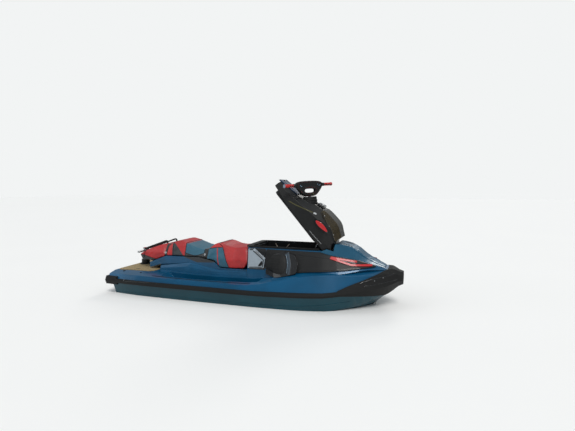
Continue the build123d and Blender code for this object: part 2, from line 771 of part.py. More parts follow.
def makePumpHousing():
    # Duct with stator vanes and outlet cone; its arms carry the nozzle above and below, the bucket at the sides.
    bore = impellerRadius + tipGap
    outer = bore + pumpWall
    shell = revolved([
        (pumpFrontX - seatGap, bore), (pumpFrontX - seatGap, outer + flangeWidth),
        (pumpFrontX - flangeWidth, outer + flangeWidth), (pumpFrontX - flangeWidth, outer),
        (statorRearX, outer),
        (coneRearX, outletRadius + nozzleWall), (outletRearX, outletRadius + nozzleWall),
        (outletRearX, outletRadius),
        (coneRearX, outletRadius), (statorRearX, bore),
    ])
    hub = revolved([
        (statorFrontX - 4, 0), (statorFrontX - 4, hubRadius + 4),
        (statorRearX, hubRadius), (coneRearX - 6, 6),
        (coneRearX - 6, 0),
    ])
    body = shell + hub
    for i in range(statorVanes):
        body += twistedBlade(
            statorFrontX - 12, statorRearX + 8, hubRadius - 3, bore + 3,
            vaneThickness, -24.0, 360.0 * i / statorVanes,
        )
    body -= rod((statorFrontX - shaftSeat, 0, pumpZ), (statorFrontX + 1, 0, pumpZ), shaftRadius + pinGap)
    armLow = nozzleInnerRadius + nozzleWall + nozzleArmGap
    armSide = bucketHalfWidth - bucketWall - bucketArmGap
    for side in (1, -1):
        low, high = sorted((side * armLow, side * (armLow + pivotArmThickness)))
        body += block(nozzlePivotX - 12, statorRearX + 12, -14, 14, pumpZ + low, pumpZ + high)
        low, high = sorted((side * (outer - 4), side * armSide))
        body += block(statorRearX - 2, statorRearX + 26, low, high, pumpZ - 12, pumpZ + 12)
        low, high = sorted((side * (armSide - pivotArmThickness + 4), side * armSide))
        body += block(bucketPivotX - 12, statorRearX + 26, low, high, pumpZ - 12, pumpZ + 12)
        body += rod(
            (bucketPivotX, side * (armSide - 2), pumpZ),
            (bucketPivotX, side * (bucketHalfWidth + 2), pumpZ), nozzlePinRadius,
        )
    hole = nozzlePinRadius + pinGap
    bores = rod((nozzlePivotX, 0, pumpZ + armLow - 1), (nozzlePivotX, 0, pumpZ + 200), hole)
    bores += rod((nozzlePivotX, 0, pumpZ - armLow + 1), (nozzlePivotX, 0, pumpZ - 200), hole)
    return body - bores


def makeImpeller():
    shaftFront = bearingX + bearingLength
    shaft = rod((statorFrontX - shaftSeat + 2, 0, pumpZ), (shaftFront, 0, pumpZ), shaftRadius)
    hub = revolved([
        (statorFrontX + 3, 0), (statorFrontX + 3, hubRadius + 4), (pumpFrontX - 30, shaftRadius + 8),
        (pumpFrontX - 12, shaftRadius - 1), (pumpFrontX - 12, 0),
    ])
    blades = []
    for i in range(impellerBlades):
        blades.append(twistedBlade(
            pumpFrontX - 22, statorFrontX + 8, shaftRadius + 2, impellerRadius, bladeThickness, bladeTwist,
            360.0 * i / impellerBlades,
        ))
    return shaft + hub + fuse(blades)


def makeShaftBearing():
    tube = Cylinder(bearingRadius, bearingLength) - Cylinder(shaftRadius + pinGap, bearingLength + 2)
    return Pos(bearingX + bearingLength / 2 - 6, 0, pumpZ) * Rot(0, 90, 0) * tube


def makeEngine():
    # Engine as one plain block on four feet, output coupling at its rear.
    body = block(
        engineRearX + 40, engineRearX + engineLength, -engineWidth / 2 + 20, engineWidth / 2 - 20,
        engineFootZ + engineFootHeight, engineFootZ + engineHeight,
    )
    feet = []
    for x in (engineRearX + 90, engineRearX + engineLength - 70):
        for y in (-engineWidth / 2 + engineFootWidth / 2, engineWidth / 2 - engineFootWidth / 2):
            half = engineFootWidth / 2
            footTop = engineFootZ + engineFootHeight + 5
            feet.append(block(x - half, x + half, y - half, y + half, engineFootZ + seatGap, footTop))
    coupling = rod((bearingX + bearingLength + 4, 0, pumpZ), (engineRearX + 60, 0, pumpZ), couplingRadius)
    return fuse([body] + feet + [coupling])


def makeRidePlate():
    # Flat plate under the pump with a flange up each wall of the tunnel and three strakes below.
    rear, front = transomX + 4, pumpFrontX - seatGap
    half = tunnelHalfWidth - seatGap
    plate = block(rear, front, -half, half, ridePlateZ, ridePlateZ + ridePlateThickness)
    for side in (1, -1):
        low, high = sorted((side * half, side * (half - ridePlateThickness)))
        plate += block(rear, front, low, high, ridePlateZ, ridePlateZ + ridePlateFlange)
    for y in ridePlateStrakes:
        plate += block(rear + 16, front - 28, y - 4, y + 4, ridePlateZ - 8, ridePlateZ + 2)
    return plate


def makeNozzle():
    # Tapering nozzle round the pump's outlet with a pivot pin above and below, built straight.
    outerIn = nozzleInnerRadius + nozzleWall
    shell = revolved([
        (nozzlePivotX + nozzleRim, nozzleInnerRadius), (nozzlePivotX + nozzleRim, outerIn),
        (nozzlePivotX - nozzleRim, outerIn), (nozzleRearX, nozzleExitRadius + nozzleWall),
        (nozzleRearX, nozzleExitRadius), (nozzlePivotX - nozzleRim, nozzleInnerRadius),
    ])
    pinEnd = outerIn + nozzleArmGap + pivotArmThickness
    for side in (1, -1):
        shell += rod(
            (nozzlePivotX, 0, pumpZ + side * (outerIn - 2)),
            (nozzlePivotX, 0, pumpZ + side * pinEnd), nozzlePinRadius,
        )
    return shell


def bucketPoint(angle, radius):
    # A point of the bucket in side view, at an angle up from straight astern of its pivot.
    a = radians(angle)
    return bucketPivotX - cos(a) * radius, pumpZ + sin(a) * radius


def makeBucket():
    # Curved gate over the jet on two side arms, stowed above the nozzle.
    inner = bucketRadius - bucketWall
    steps = 8
    angles = [bucketStowAngle - bucketHalfArc + 2 * bucketHalfArc * i / steps for i in range(steps + 1)]
    gate = sidePrism(
        [bucketPoint(a, bucketRadius) for a in angles] + [bucketPoint(a, inner) for a in reversed(angles)],
        bucketHalfWidth,
    )
    arm = sidePrism([
        bucketPoint(bucketStowAngle - 90, 18), bucketPoint(bucketStowAngle - bucketHalfArc + 4, inner + 2),
        bucketPoint(bucketStowAngle + bucketHalfArc - 4, inner + 2), bucketPoint(bucketStowAngle + 90, 18),
        bucketPoint(bucketStowAngle + 180, 18),
    ], bucketWall / 2)
    bore = rod((bucketPivotX, -400, pumpZ), (bucketPivotX, 400, pumpZ), nozzlePinRadius + pinGap)
    for side in (1, -1):
        gate += Pos(0, side * (bucketHalfWidth - bucketWall / 2), 0) * arm
    return gate - bore


def makeBoardingStep():
    path = FilletPolyline(
        (stepHingeX, stepHalfWidth, stepHingeZ), (stepHingeX, stepHalfWidth, stepHingeZ + stepLength),
        (stepHingeX, -stepHalfWidth, stepHingeZ + stepLength), (stepHingeX, -stepHalfWidth, stepHingeZ),
        radius=30,
    )
    tube = sweep(Plane(origin=path @ 0, z_dir=path % 0) * Circle(stepTubeRadius), path=path)
    for side in (1, -1):
        across = Pos(stepHingeX, side * stepHalfWidth, stepHingeZ) * Rot(90, 0, 0)
        knuckle = across * Cylinder(stepTubeRadius + 5, 34)
        tube += knuckle
    bore = Pos(stepHingeX, 0, stepHingeZ) * Rot(90, 0, 0) * Cylinder(6 + pinGap, 900)
    return tube - bore


def makeStepBrackets():
    pieces = []
    for side in (1, -1):
        y = side * stepHalfWidth
        base = block(transomX - 12, transomX - seatGap, y - 34, y + 34, stepHingeZ - 22, stepHingeZ + 22)
        for offset in (-26, 26):
            y0, y1 = y + offset - 4, y + offset + 4
            base += block(stepHingeX - 12, transomX - 6, y0, y1, stepHingeZ - 12, stepHingeZ + 12)
        base += rod((stepHingeX, y - 28, stepHingeZ), (stepHingeX, y + 28, stepHingeZ), 6)
        pieces.append(base)
    return pieces


def makeSponsons(form):
    # Fins along the chines near the stern.
    outer = sidePrism([(-1560, -70), (-1540, -20), (-1120, -8), (-1050, -40), (-1090, -66)])
    skinOut = masterForm(26.0)
    return (skinOut & outer) - form


def eyeBolt(foot, outward, across):
    # U of round rod standing out from its foot, its legs let into the hull behind it.
    path = FilletPolyline(
        (-eyeRadius, -eyeLegs, 0), (-eyeRadius, eyeRadius, 0),
        (eyeRadius, eyeRadius, 0), (eyeRadius, -eyeLegs, 0),
        radius=eyeRadius - 1,
    )
    loop = sweep(Plane(origin=path @ 0, z_dir=path % 0) * Circle(eyeRod), path=path)
    place = Plane(origin=foot, x_dir=across, z_dir=Vector(*across).cross(Vector(*outward)))
    return place * loop


def makeTowEyes():
    eyes = []
    for side in (1, -1):
        eye = eyeBolt((transomX - eyeStand, side * sternEyeY, sternEyeZ), (-1, 0, 0), (0, 1, 0))
        eyes.append(eye - block(transomX - seatGap, transomX + 200, -700, 700, -300, 300))
    return eyes


def makeBowEye(form):
    a = radians(bowEyeAngle)
    foot = (bowEyeX, 0, stemZ(bowEyeX))
    return eyeBolt(foot, (cos(a), 0, -sin(a)), (sin(a), 0, cos(a))) - form


def stemZ(x):
    # Height of the keel line at a place along the boat.
    rows = faired(formStations)
    for behind, ahead in zip(rows, rows[1:]):
        if behind[0] <= x <= ahead[0]:
            return behind[1] + (ahead[1] - behind[1]) * (x - behind[0]) / (ahead[0] - behind[0])
    return rows[-1][1]


# Lid, built closed

def hingeSlots():
    slots = []
    for y in (-hingeLugY, hingeLugY):
        slots.append(block(
            hingeX - 30, hingeX + 120, y - hingeLugWidth / 2 - runningGap, y + hingeLugWidth / 2 + runningGap,
            560, hingeZ + 34,
        ))
    return fuse(slots)


def makeLidShell(outer):
    shell = outer - lidForm(-lidWall, lidOpenDrop)
    lip = sidePrism(lipOutline, lipHalfWidth)
    shell += lip
    shell -= hingeSlots()
    shell -= block(
        gloveRearX - seatGap, gloveFrontX + seatGap, -gloveHalfWidth - seatGap, gloveHalfWidth + seatGap,
        gloveFloorZ + 40, 900,
    )
    return shell


def makeLidLiner():
    plateLow = lidUndersideZ + linerLift
    layer = block(0, linerFrontX, -400, 400, plateLow, plateLow + linerThickness)
    plate = lidForm(-lidWall - seatGap, lidOpenDrop) & layer
    ribOuter = roundedWell(
        linerRibRearX, linerRibFrontX, linerRibHalfWidth, lidUndersideZ - linerRibDepth, lidUndersideZ + 4, 50
    )
    ribInner = roundedWell(
        linerRibRearX + linerRibWidth, linerRibFrontX - linerRibWidth, linerRibHalfWidth - linerRibWidth,
        lidUndersideZ - linerRibDepth - 1, lidUndersideZ + 5, 50 - linerRibWidth,
    )
    x, z = strutEyeClosed
    lug = block(x - 12, x + 12, strutY - 22, strutY - 14, z - 10, lidUndersideZ + 5)
    eyePin = rod((x, strutY - 18, z), (x, strutY - strutEyeWidth / 2 - strutEyeGap, z), strutPinRadius)
    return plate + (ribOuter - ribInner) + lug + eyePin - hingeSlots()


def makeHingePin():
    # Pin through both lugs, held in two ears that hang inside the lid.
    pin = rod((hingeX, -hingeLugY - 34, hingeZ), (hingeX, hingeLugY + 34, hingeZ), hingePinRadius)
    return pin


def makeHingeEars():
    ears = []
    plateTop = lidUndersideZ + linerLift + linerThickness + seatGap
    for y in (-hingeLugY - 26, hingeLugY + 26):
        web = sidePrism([
            (hingeX - 26, plateTop), (hingeX + 26, plateTop),
            (hingeX + 16, hingeZ + 10), (hingeX - 16, hingeZ + 10),
        ], 6)
        eye = Pos(hingeX, 0, hingeZ) * Rot(90, 0, 0) * Cylinder(16, 12)
        bore = Pos(hingeX, 0, hingeZ) * Rot(90, 0, 0) * Cylinder(hingePinRadius + pinGap, 40)
        ears.append(Pos(0, y, 0) * (web + eye - bore))
    return ears


def makeLoops():
    loops = []
    for x, y in loopPlaces:
        outline = [
            (-18, 0), (-18, -loopDrop + 10), (-10, -loopDrop), (10, -loopDrop), (18, -loopDrop + 10), (18, 0),
            (15, 0), (15, -loopDrop + 11), (8, -loopDrop + 3),
            (-8, -loopDrop + 3), (-15, -loopDrop + 11), (-15, 0),
        ]
        top = lidUndersideZ + linerLift - seatGap
        loops.append(Pos(x, y, top) * sidePrism(outline, loopWidth / 2))
    return loops


def makeDeflector(outer, inner):
    skinPiece = (outer & sidePrism(deflectorOutline)) - inner
    return skinPiece & block(500, 990, -190, 190, 700, 1000)


def makePods(outer, inner):
    return (outer & sidePrism(podOutline)) - inner


def makeGloveBox():
    x0, x1, y1 = gloveRearX, gloveFrontX, gloveHalfWidth
    wall = [(x0, gloveFloorZ), (x1, gloveFloorZ), (x1, doorLine(x1) - 2), (x0, doorLine(x0) - 2)]
    outer = sidePrism(wall, y1)
    inner = sidePrism(
        [
            (x0 + gloveWall, gloveFloorZ + gloveWall), (x1 - gloveWall, gloveFloorZ + gloveWall),
            (x1 - gloveWall, 900), (x0 + gloveWall, 900),
        ],
        y1 - gloveWall,
    )
    return outer - inner


def doorLine(x):
    # Height of the lid's crown under the glove box door, which is straight from end to end.
    x0, z0 = lidStations[0][0], lidStations[0][6]
    x1, z1 = lidStations[1][0], lidStations[1][6]
    return z0 + (z1 - z0) * (x - x0) / (x1 - x0)


def doorHinge():
    # Axis of the door, a barrel lying on the lid at the door's front edge.
    x1, z1 = doorFrontX, doorLine(doorFrontX)
    slope = (z1 - doorLine(doorRearX)) / (doorFrontX - doorRearX)
    run = hypot(1.0, slope)
    lift = doorHingeRadius + doorGap
    return x1 - slope / run * lift, z1 + lift / run


def makeGloveDoor():
    low = [(doorRearX, doorLine(doorRearX) + doorGap), (doorFrontX, doorLine(doorFrontX) + doorGap)]
    high = [(doorFrontX, low[1][1] + doorThickness - 1), (doorRearX + 8, low[0][1] + doorThickness + 6)]
    x, z = doorHinge()
    barrel = rod((x, -doorHalfWidth, z), (x, doorHalfWidth, z), doorHingeRadius)
    return sidePrism(low + high, doorHalfWidth) + barrel


def makeGauge():
    pod = Box(gaugeLength, gaugeWidth, gaugeHeight)
    pod = fillet(pod.edges().filter_by(Axis.Z), 16)
    return Pos(gaugeX, 0, gaugeZ) * Rot(0, -24, 0) * pod - lidForm(seatGap)


# Steering, built straight ahead in its own plane, Z along the column

def columnPlane():
    lean = radians(columnRake)
    return Plane(
        origin=(barCentreX, 0, barCentreZ), x_dir=(cos(lean), 0, sin(lean)), z_dir=(-sin(lean), 0, cos(lean))
    )


def makeHandlebar():
    bar = rod((0, -barHalfLength, 0), (0, barHalfLength, 0), barRadius)
    post = rod((0, 0, -columnReach), (0, 0, postTop), postRadius)
    return [bar, post]


def makeBarPad():
    ringPoints = padOutline + [(-y, z) for y, z in reversed(padOutline)]
    outline = make_face(FilletPolyline(*ringPoints, radius=9, close=True))
    holeMid = (padHoleLow + padHoleHigh) / 2
    hole = Pos(0, holeMid) * RectangleRounded(2 * padHoleHalfWidth, padHoleHigh - padHoleLow, 20)
    rearFace = Plane(origin=(-padThickness / 2, 0, 0), x_dir=(0, 1, 0), z_dir=(1, 0, 0))
    pad = rearFace * extrude(outline - hole, amount=padThickness)
    inner = rod((0, -barHalfLength, 0), (0, barHalfLength, 0), barRadius + pinGap)
    return pad - inner - rod((0, 0, -400), (0, 0, postTop), postRadius + pinGap)


def makeGrips():
    grips = []
    for side in (1, -1):
        y0 = side * (barHalfLength - endRingLength - gripLength)
        y1 = side * (barHalfLength - endRingLength)
        grip = rod((0, y0, 0), (0, y1, 0), gripRadius)
        grip += rod((0, y1 - side, 0), (0, side * barHalfLength, 0), endRingRadius)
        grips.append(grip - rod((0, -barHalfLength - 1, 0), (0, barHalfLength + 1, 0), barRadius + pinGap))
    return grips


def makeLevers():
    levers = []
    for side in (1, -1):
        clampY = side * (barHalfLength - endRingLength - gripLength - 16)
        clamp = rod((0, clampY - 12, 0), (0, clampY + 12, 0), barRadius + 9)
        blade = rod((10, clampY, -2), (44, clampY + side * 26, -6), leverRadius)
        blade += rod((44, clampY + side * 26, -6), (48, clampY + side * leverLength, -6), leverRadius)
        levers.append(clamp + blade - rod((0, -400, 0), (0, 400, 0), barRadius + pinGap))
    return levers


def makeColumnBase():
    # Tapered boot between the lid and the turning column, its foot cut to the lid's crown.
    inner = postRadius + pinGap
    outline = make_face(Polyline(
        (inner, columnBaseTop), (columnBaseRadius, columnBaseTop),
        (columnBaseRadius + columnBaseSpread, columnBaseFoot),
        (inner, columnBaseFoot), close=True,
    ))
    return revolve(Plane.XZ * outline, Axis.Z)


# Strut

def strutAxis():
    ex, ez = opened(strutEyeClosed)
    return Vector(ex - strutFoot[0], 0, ez - strutFoot[1]).normalized()


def opened(point):
    # Where a point of the closed lid, given as x and z, lies once the lid is open.
    a = radians(lidOpenAngle)
    dx, dz = point[0] - hingeX, point[1] - hingeZ
    return hingeX + dx * cos(a) + dz * sin(a), hingeZ - dx * sin(a) + dz * cos(a)


def makeStrut():
    axis = strutAxis()
    foot = Vector(strutFoot[0], strutY, strutFoot[1])
    ex, ez = opened(strutEyeClosed)
    eye = Vector(ex, strutY, ez)
    tubeEnd = foot + axis * strutTubeLength
    cross = Rot(90, 0, 0)
    tube = rod(foot + axis * 10, tubeEnd, strutTubeRadius)
    tube += Pos(foot.X, foot.Y, foot.Z) * cross * Cylinder(strutEyeRadius + 2, 12)
    tube -= rod(foot + axis * 30, tubeEnd + axis, strutRodRadius + pinGap)
    tube -= Pos(foot.X, foot.Y, foot.Z) * cross * Cylinder(strutPinRadius + pinGap, 40)
    shaft = rod(foot + axis * (strutTubeLength - 120), eye - axis * 6, strutRodRadius)
    shaft += Pos(eye.X, eye.Y, eye.Z) * cross * Cylinder(strutEyeRadius, strutEyeWidth)
    shaft -= Pos(eye.X, eye.Y, eye.Z) * cross * Cylinder(strutPinRadius + 0.6, 40)
    return tube, shaft


def makeStrutFoot():
    # Bracket on the bin's side wall with the pin of the strut's foot.
    wallY = binHalfWidth - binWall
    x, z = strutFoot
    plate = block(x - 26, x + 26, wallY - 6 - seatGap, wallY - seatGap, z - 26, z + 26)
    pin = rod((x, wallY - 3, z), (x, strutY - 10, z), strutPinRadius)
    return plate + pin


if __name__ == "__main__":
    form = masterForm()
    formGap = masterForm(seatGap)
    formOut = masterForm(guardProud)
    sup = superForm()
    supGap = superForm(seatGap)
    supPanel = superForm(panelThickness)
    supPanelGap = superForm(panelThickness + seatGap)
    supTrim = superForm(panelThickness + trimThickness)
    supKnee = superForm(kneeThickness)
    supKneeGap = superForm(kneeThickness + seatGap)
    supRidge = superForm(kneeThickness + ridgeThickness)
    lidOuter = lidForm()
    lidGap = lidForm(seatGap)
    openLid = Pos(hingeX, 0, hingeZ) * Rot(0, lidOpenAngle, 0) * Pos(-hingeX, 0, -hingeZ)
    steering = openLid * Location(columnPlane())
    turned = steering * Rot(0, 0, -barTurn)

    def save(name, *shapes):
        solids = []
        for shape in shapes:
            solids.extend(shape.solids())
        node = solids[0] if len(solids) == 1 else Compound(children=solids)
        export_step(node, f"parts/{name}.step")

    save("hull", makeHull(form))
    save("deck", makeDeck(form, sup))
    save("guard_band", makeGuardBand(formOut, formGap))
    save("bow_bumper", makeBowBumper(formOut, formGap))
    save("stern_bumper", makeSternBumper(formOut, formGap))
    save("side_panels", makeSidePanels(supPanel, supGap, formGap))
    save("knee_fairings", makeKnees(supKnee, supPanelGap, formGap))
    save("knee_ridges", makeRidges(supRidge, supKneeGap, formGap))
    save("check_trims", makeCheckTrims(supTrim, supPanelGap))
    save("hood", makeHood(sup, formGap))
    save("footwell_mats", *makeFootwellMats())
    save("platform_mat", makePlatformMat(form))
    save("sponsons", makeSponsons(formGap))
    save("bin_liner", makeBinLiner())
    save("bin_rim", makeBinRim())
    console = makeConsoleSides(superForm(consoleThickness), superForm(consoleBarThickness), supGap)
    save("console_sides", console)
    save("lid_hinge_base", *makeHingeBase())
    save("seat_base", makeSeatBase())
    save("driver_seat", makeDriverSeat())
    save("passenger_seat", makePassengerSeat())
    save("rear_seat_pad", makeRearPad())
    save("seat_straps", *makeStraps())
    save("grab_rail", makeGrabRail())
    save("pylon_base", makePylonBase())
    save("pylon_post", makePylonPost())
    save("intake_grate", makeIntakeGrate(form))
    save("pump_housing", makePumpHousing())
    save("impeller", makeImpeller())
    save("shaft_bearing", makeShaftBearing())
    save("engine", makeEngine())
    save("ride_plate", makeRidePlate())
    nozzleTurn = Pos(nozzlePivotX, 0, 0) * Rot(0, 0, steerLimit) * Pos(-nozzlePivotX, 0, 0)
    save("steering_nozzle", nozzleTurn * makeNozzle())
    save("reverse_bucket", makeBucket())
    save("boarding_step", makeBoardingStep())
    save("step_brackets", *makeStepBrackets())
    save("tow_eyes", *makeTowEyes())
    save("bow_eye", makeBowEye(formGap))
    save("lid_shell", openLid * makeLidShell(lidOuter))
    save("lid_liner", openLid * makeLidLiner())
    save("lid_hinge", openLid * makeHingePin(), *[openLid * ear for ear in makeHingeEars()])
    save("lid_loops", *[openLid * loop for loop in makeLoops()])
    save("wind_deflector", openLid * makeDeflector(lidForm(deflectorThickness), lidGap))
    save("mirror_pods", openLid * makePods(lidForm(podThickness), lidGap))
    save("glove_box", openLid * makeGloveBox())
    save("glove_door", openLid * makeGloveDoor())
    save("gauge", openLid * makeGauge())
    save("column_base", steering * makeColumnBase() - openLid * lidGap)
    save("handlebar", *[turned * piece for piece in makeHandlebar()])
    save("bar_pad", turned * makeBarPad())
    save("grips", *[turned * piece for piece in makeGrips()])
    save("levers", *[turned * piece for piece in makeLevers()])
    tube, shaft = makeStrut()
    save("strut_tube", tube)
    save("strut_rod", shaft)
    save("strut_foot", makeStrutFoot())
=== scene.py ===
import math

import bmesh
import bpy
import numpy as np
from mathutils import Matrix, Vector


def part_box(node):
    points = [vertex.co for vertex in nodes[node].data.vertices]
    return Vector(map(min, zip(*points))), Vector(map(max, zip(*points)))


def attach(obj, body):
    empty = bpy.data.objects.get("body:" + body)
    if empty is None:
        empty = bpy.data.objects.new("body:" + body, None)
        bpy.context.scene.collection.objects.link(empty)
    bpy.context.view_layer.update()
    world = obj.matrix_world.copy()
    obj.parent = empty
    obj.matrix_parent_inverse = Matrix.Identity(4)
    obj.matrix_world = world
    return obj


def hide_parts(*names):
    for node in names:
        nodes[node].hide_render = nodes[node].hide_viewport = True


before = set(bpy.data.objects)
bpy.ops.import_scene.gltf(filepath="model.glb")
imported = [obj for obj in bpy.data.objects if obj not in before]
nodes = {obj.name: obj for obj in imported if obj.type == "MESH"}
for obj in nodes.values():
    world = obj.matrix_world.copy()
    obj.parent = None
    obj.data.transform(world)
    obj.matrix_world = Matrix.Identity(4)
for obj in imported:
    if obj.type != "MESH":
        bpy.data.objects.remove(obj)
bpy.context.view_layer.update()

print("frame loaded,", len(nodes), "nodes")


# Camera: stands on the beach to starboard, ahead of amidships, and looks aft and across.
cameraLook = {
    "place": (1.9521, -4.6321, 1.3053),
    "ahead": (-0.3182, 0.9453, -0.0715),
    "right": (0.9477, 0.3190, 0.0005),
    "lens": 26.3,
    "sensor": 36.0,
}
cameraData = bpy.data.cameras.new("camera")
cameraData.lens = cameraLook["lens"]
cameraData.sensor_width = cameraLook["sensor"]
camera = bpy.data.objects.new("camera", cameraData)
bpy.context.scene.collection.objects.link(camera)
back = -Vector(cameraLook["ahead"]).normalized()
right = (Vector(cameraLook["right"]) - back * Vector(cameraLook["right"]).dot(back)).normalized()
lift = back.cross(right)
cameraTurn = Matrix((right, lift, back)).transposed().to_4x4()
camera.matrix_world = Matrix.Translation(cameraLook["place"]) @ cameraTurn
bpy.context.scene.camera = camera
bpy.context.scene.view_settings.view_transform = "Standard"
print("camera placed")


# Shapes worked out with numpy

def gridFaces(rows, cols, wrapRows=False, wrapCols=False):
    # Quads between neighbours of a grid that is numbered row by row.
    r = np.arange(rows if wrapRows else rows - 1)[:, None]
    c = np.arange(cols if wrapCols else cols - 1)[None, :]
    here, above = r * cols, (r + 1) % rows * cols
    corners = [here + c, here + (c + 1) % cols, above + (c + 1) % cols, above + c]
    return np.stack(corners, axis=-1).reshape(-1, 4).tolist()


def capped(points):
    # Rings of points as a skin; each end ring is closed by one polygon.
    rows, cols = points.shape[:2]
    faces = gridFaces(rows, cols, wrapCols=True)
    faces += [list(range(cols))[::-1], list(range((rows - 1) * cols, rows * cols))]
    return points.reshape(-1, 3), faces


def joined(shapes):
    # Several (points, faces) pairs as one, with the faces renumbered.
    points, faces, start = [], [], 0
    for somePoints, someFaces in shapes:
        points.append(np.asarray(somePoints, float).reshape(-1, 3))
        faces += [[v + start for v in face] for face in someFaces]
        start += len(points[-1])
    return np.concatenate(points), faces


def unit(v):
    # Vectors divided by their lengths.
    return v / np.maximum(np.linalg.norm(v, axis=-1, keepdims=True), 1e-12)


def smoothPath(points, count):
    # Catmull-Rom curve through the points, evenly spread in its parameter.
    p = np.asarray(points, float)
    p = np.vstack([2 * p[0] - p[1], p, 2 * p[-1] - p[-2]])
    t = np.linspace(0, len(points) - 1 - 1e-9, count)
    i = t.astype(int)
    t = (t - i)[:, None]
    a, b, c, d = p[i], p[i + 1], p[i + 2], p[i + 3]
    return 0.5 * (2 * b + (c - a) * t + (2 * a - 5 * b + 4 * c - d) * t**2 + (3 * b - a - 3 * c + d) * t**3)


def tube(path, radius, sides=12, up=(0.0, 0.0, 1.0)):
    # Circle carried along a path: path + radius * (cos a * side + sin a * above).
    path = np.asarray(path, float)
    ahead = unit(np.gradient(path, axis=0))
    side = unit(np.cross(ahead, np.asarray(up, float)))
    above = np.cross(side, ahead)
    a = np.linspace(0, 2 * np.pi, sides, endpoint=False)[None, :, None]
    size = np.broadcast_to(np.asarray(radius, float), len(path))[:, None, None]
    rings = path[:, None] + size * (np.cos(a) * side[:, None] + np.sin(a) * above[:, None])
    return capped(rings)


def bandAlong(path, half, flat, sides=16):
    # Flat oval carried along a path in the y-z plane: path + half * (cos a * x + flat * sin a * (x cross
    # ahead)).
    path = np.asarray(path, float)
    wide = np.array([1.0, 0.0, 0.0])
    thin = unit(np.cross(wide, unit(np.gradient(path, axis=0))))
    a = np.linspace(0, 2 * np.pi, sides, endpoint=False)[None, :, None]
    return capped(path[:, None] + half * (np.cos(a) * wide + flat * np.sin(a) * thin[:, None]))


def turned(profile, centre, axis, sides=32):
    # Profile of (distance along the axis, radius) turned about an axis through the centre.
    profile = np.asarray(profile, float)
    n = unit(np.asarray(axis, float))
    ref = np.array([0.0, 0.0, 1.0]) if abs(n[2]) < 0.9 else np.array([1.0, 0.0, 0.0])
    side = unit(np.cross(n, ref))
    other = np.cross(n, side)
    a = np.linspace(0, 2 * np.pi, sides, endpoint=False)[None, :, None]
    ring = np.cos(a) * side + np.sin(a) * other
    points = np.asarray(centre, float) + profile[:, 0, None, None] * n + profile[:, 1, None, None] * ring
    return capped(points)


def makePiece(name, shape, material, body):
    # A mesh from (points, faces), its normals turned outwards, shaded across flat edges, that rides on a
    # body.
    points, faces = shape
    mesh = bpy.data.meshes.new(name)
    mesh.from_pydata(np.asarray(points, float).reshape(-1, 3).tolist(), [], faces)
    work = bmesh.new()
    work.from_mesh(mesh)
    bmesh.ops.recalc_face_normals(work, faces=work.faces)
    work.to_mesh(mesh)
    work.free()
    mesh.polygons.foreach_set("use_smooth", np.full(len(mesh.polygons), True))
    mesh.set_sharp_from_angle(angle=math.radians(35.0))
    piece = bpy.data.objects.new(name, mesh)
    bpy.context.scene.collection.objects.link(piece)
    mesh.materials.append(material)
    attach(piece, body)
    return piece


def trianglesOf(*meshes):
    # Corners of every triangle of the meshes, as one array.
    found = []
    for mesh in meshes:
        mesh.calc_loop_triangles()
        places = np.empty(len(mesh.vertices) * 3, np.float32)
        mesh.vertices.foreach_get("co", places)
        corners = np.empty(len(mesh.loop_triangles) * 3, np.int32)
        mesh.loop_triangles.foreach_get("vertices", corners)
        found.append(places.reshape(-1, 3)[corners.reshape(-1, 3)])
    return np.concatenate(found).astype(float)


def trianglesOfShape(shape):
    # Triangles of a (points, faces) pair, each face cut in a fan.
    points, faces = shape
    fans = [(f[0], f[k], f[k + 1]) for f in faces for k in range(1, len(f) - 1)]
    return np.asarray(points)[np.array(fans)]


def castOnto(triangles, origins, direction):
    # First hit of parallel rays with the triangles, from barycentric weights; returns points and outward
    # normals.
    d = unit(np.asarray(direction, float))
    origins = np.asarray(origins, float).reshape(-1, 3)
    points, normals = [], []
    low, high = triangles.min(1), triangles.max(1)
    flat = np.abs(d) < 0.5
    for part in np.array_split(origins, max(1, len(origins) // 48)):
        near = ((high[:, flat] >= part.min(0)[flat] - 1e-5)
                & (low[:, flat] <= part.max(0)[flat] + 1e-5)).all(1)
        a = triangles[near, 0]
        e1, e2 = triangles[near, 1] - a, triangles[near, 2] - a
        p = np.cross(d, e2)
        det = (e1 * p).sum(1)
        use = np.abs(det) > 1e-14
        a, e1, e2, p, det = a[use], e1[use], e2[use], p[use], det[use]
        if not len(a):
            points.append(np.full(part.shape, np.nan))
            normals.append(np.tile(-d, (len(part), 1)))
            continue
        s = part[:, None] - a[None]
        u = (s * p).sum(2) / det
        q = np.cross(s, e1[None])
        v = (q @ d) / det
        t = (q * e2).sum(2) / det
        hit = (u > -1e-5) & (v > -1e-5) & (u + v < 1 + 1e-5) & (t > 0)
        t = np.where(hit, t, np.inf)
        k = t.argmin(1)
        reach = t[np.arange(len(part)), k]
        n = unit(np.cross(e1[k], e2[k]))
        n *= -np.sign(n @ d)[:, None]
        reach = np.where(np.isfinite(reach), reach, np.nan)
        points.append(part + d * reach[:, None])
        normals.append(n)
    points, normals = np.concatenate(points), np.concatenate(normals)
    missed = np.isnan(points[:, 0])
    if missed.any() and not missed.all():
        order = np.arange(len(points))
        for k in range(3):
            points[missed, k] = np.interp(order[missed], order[~missed], points[~missed, k])
    return points, normals


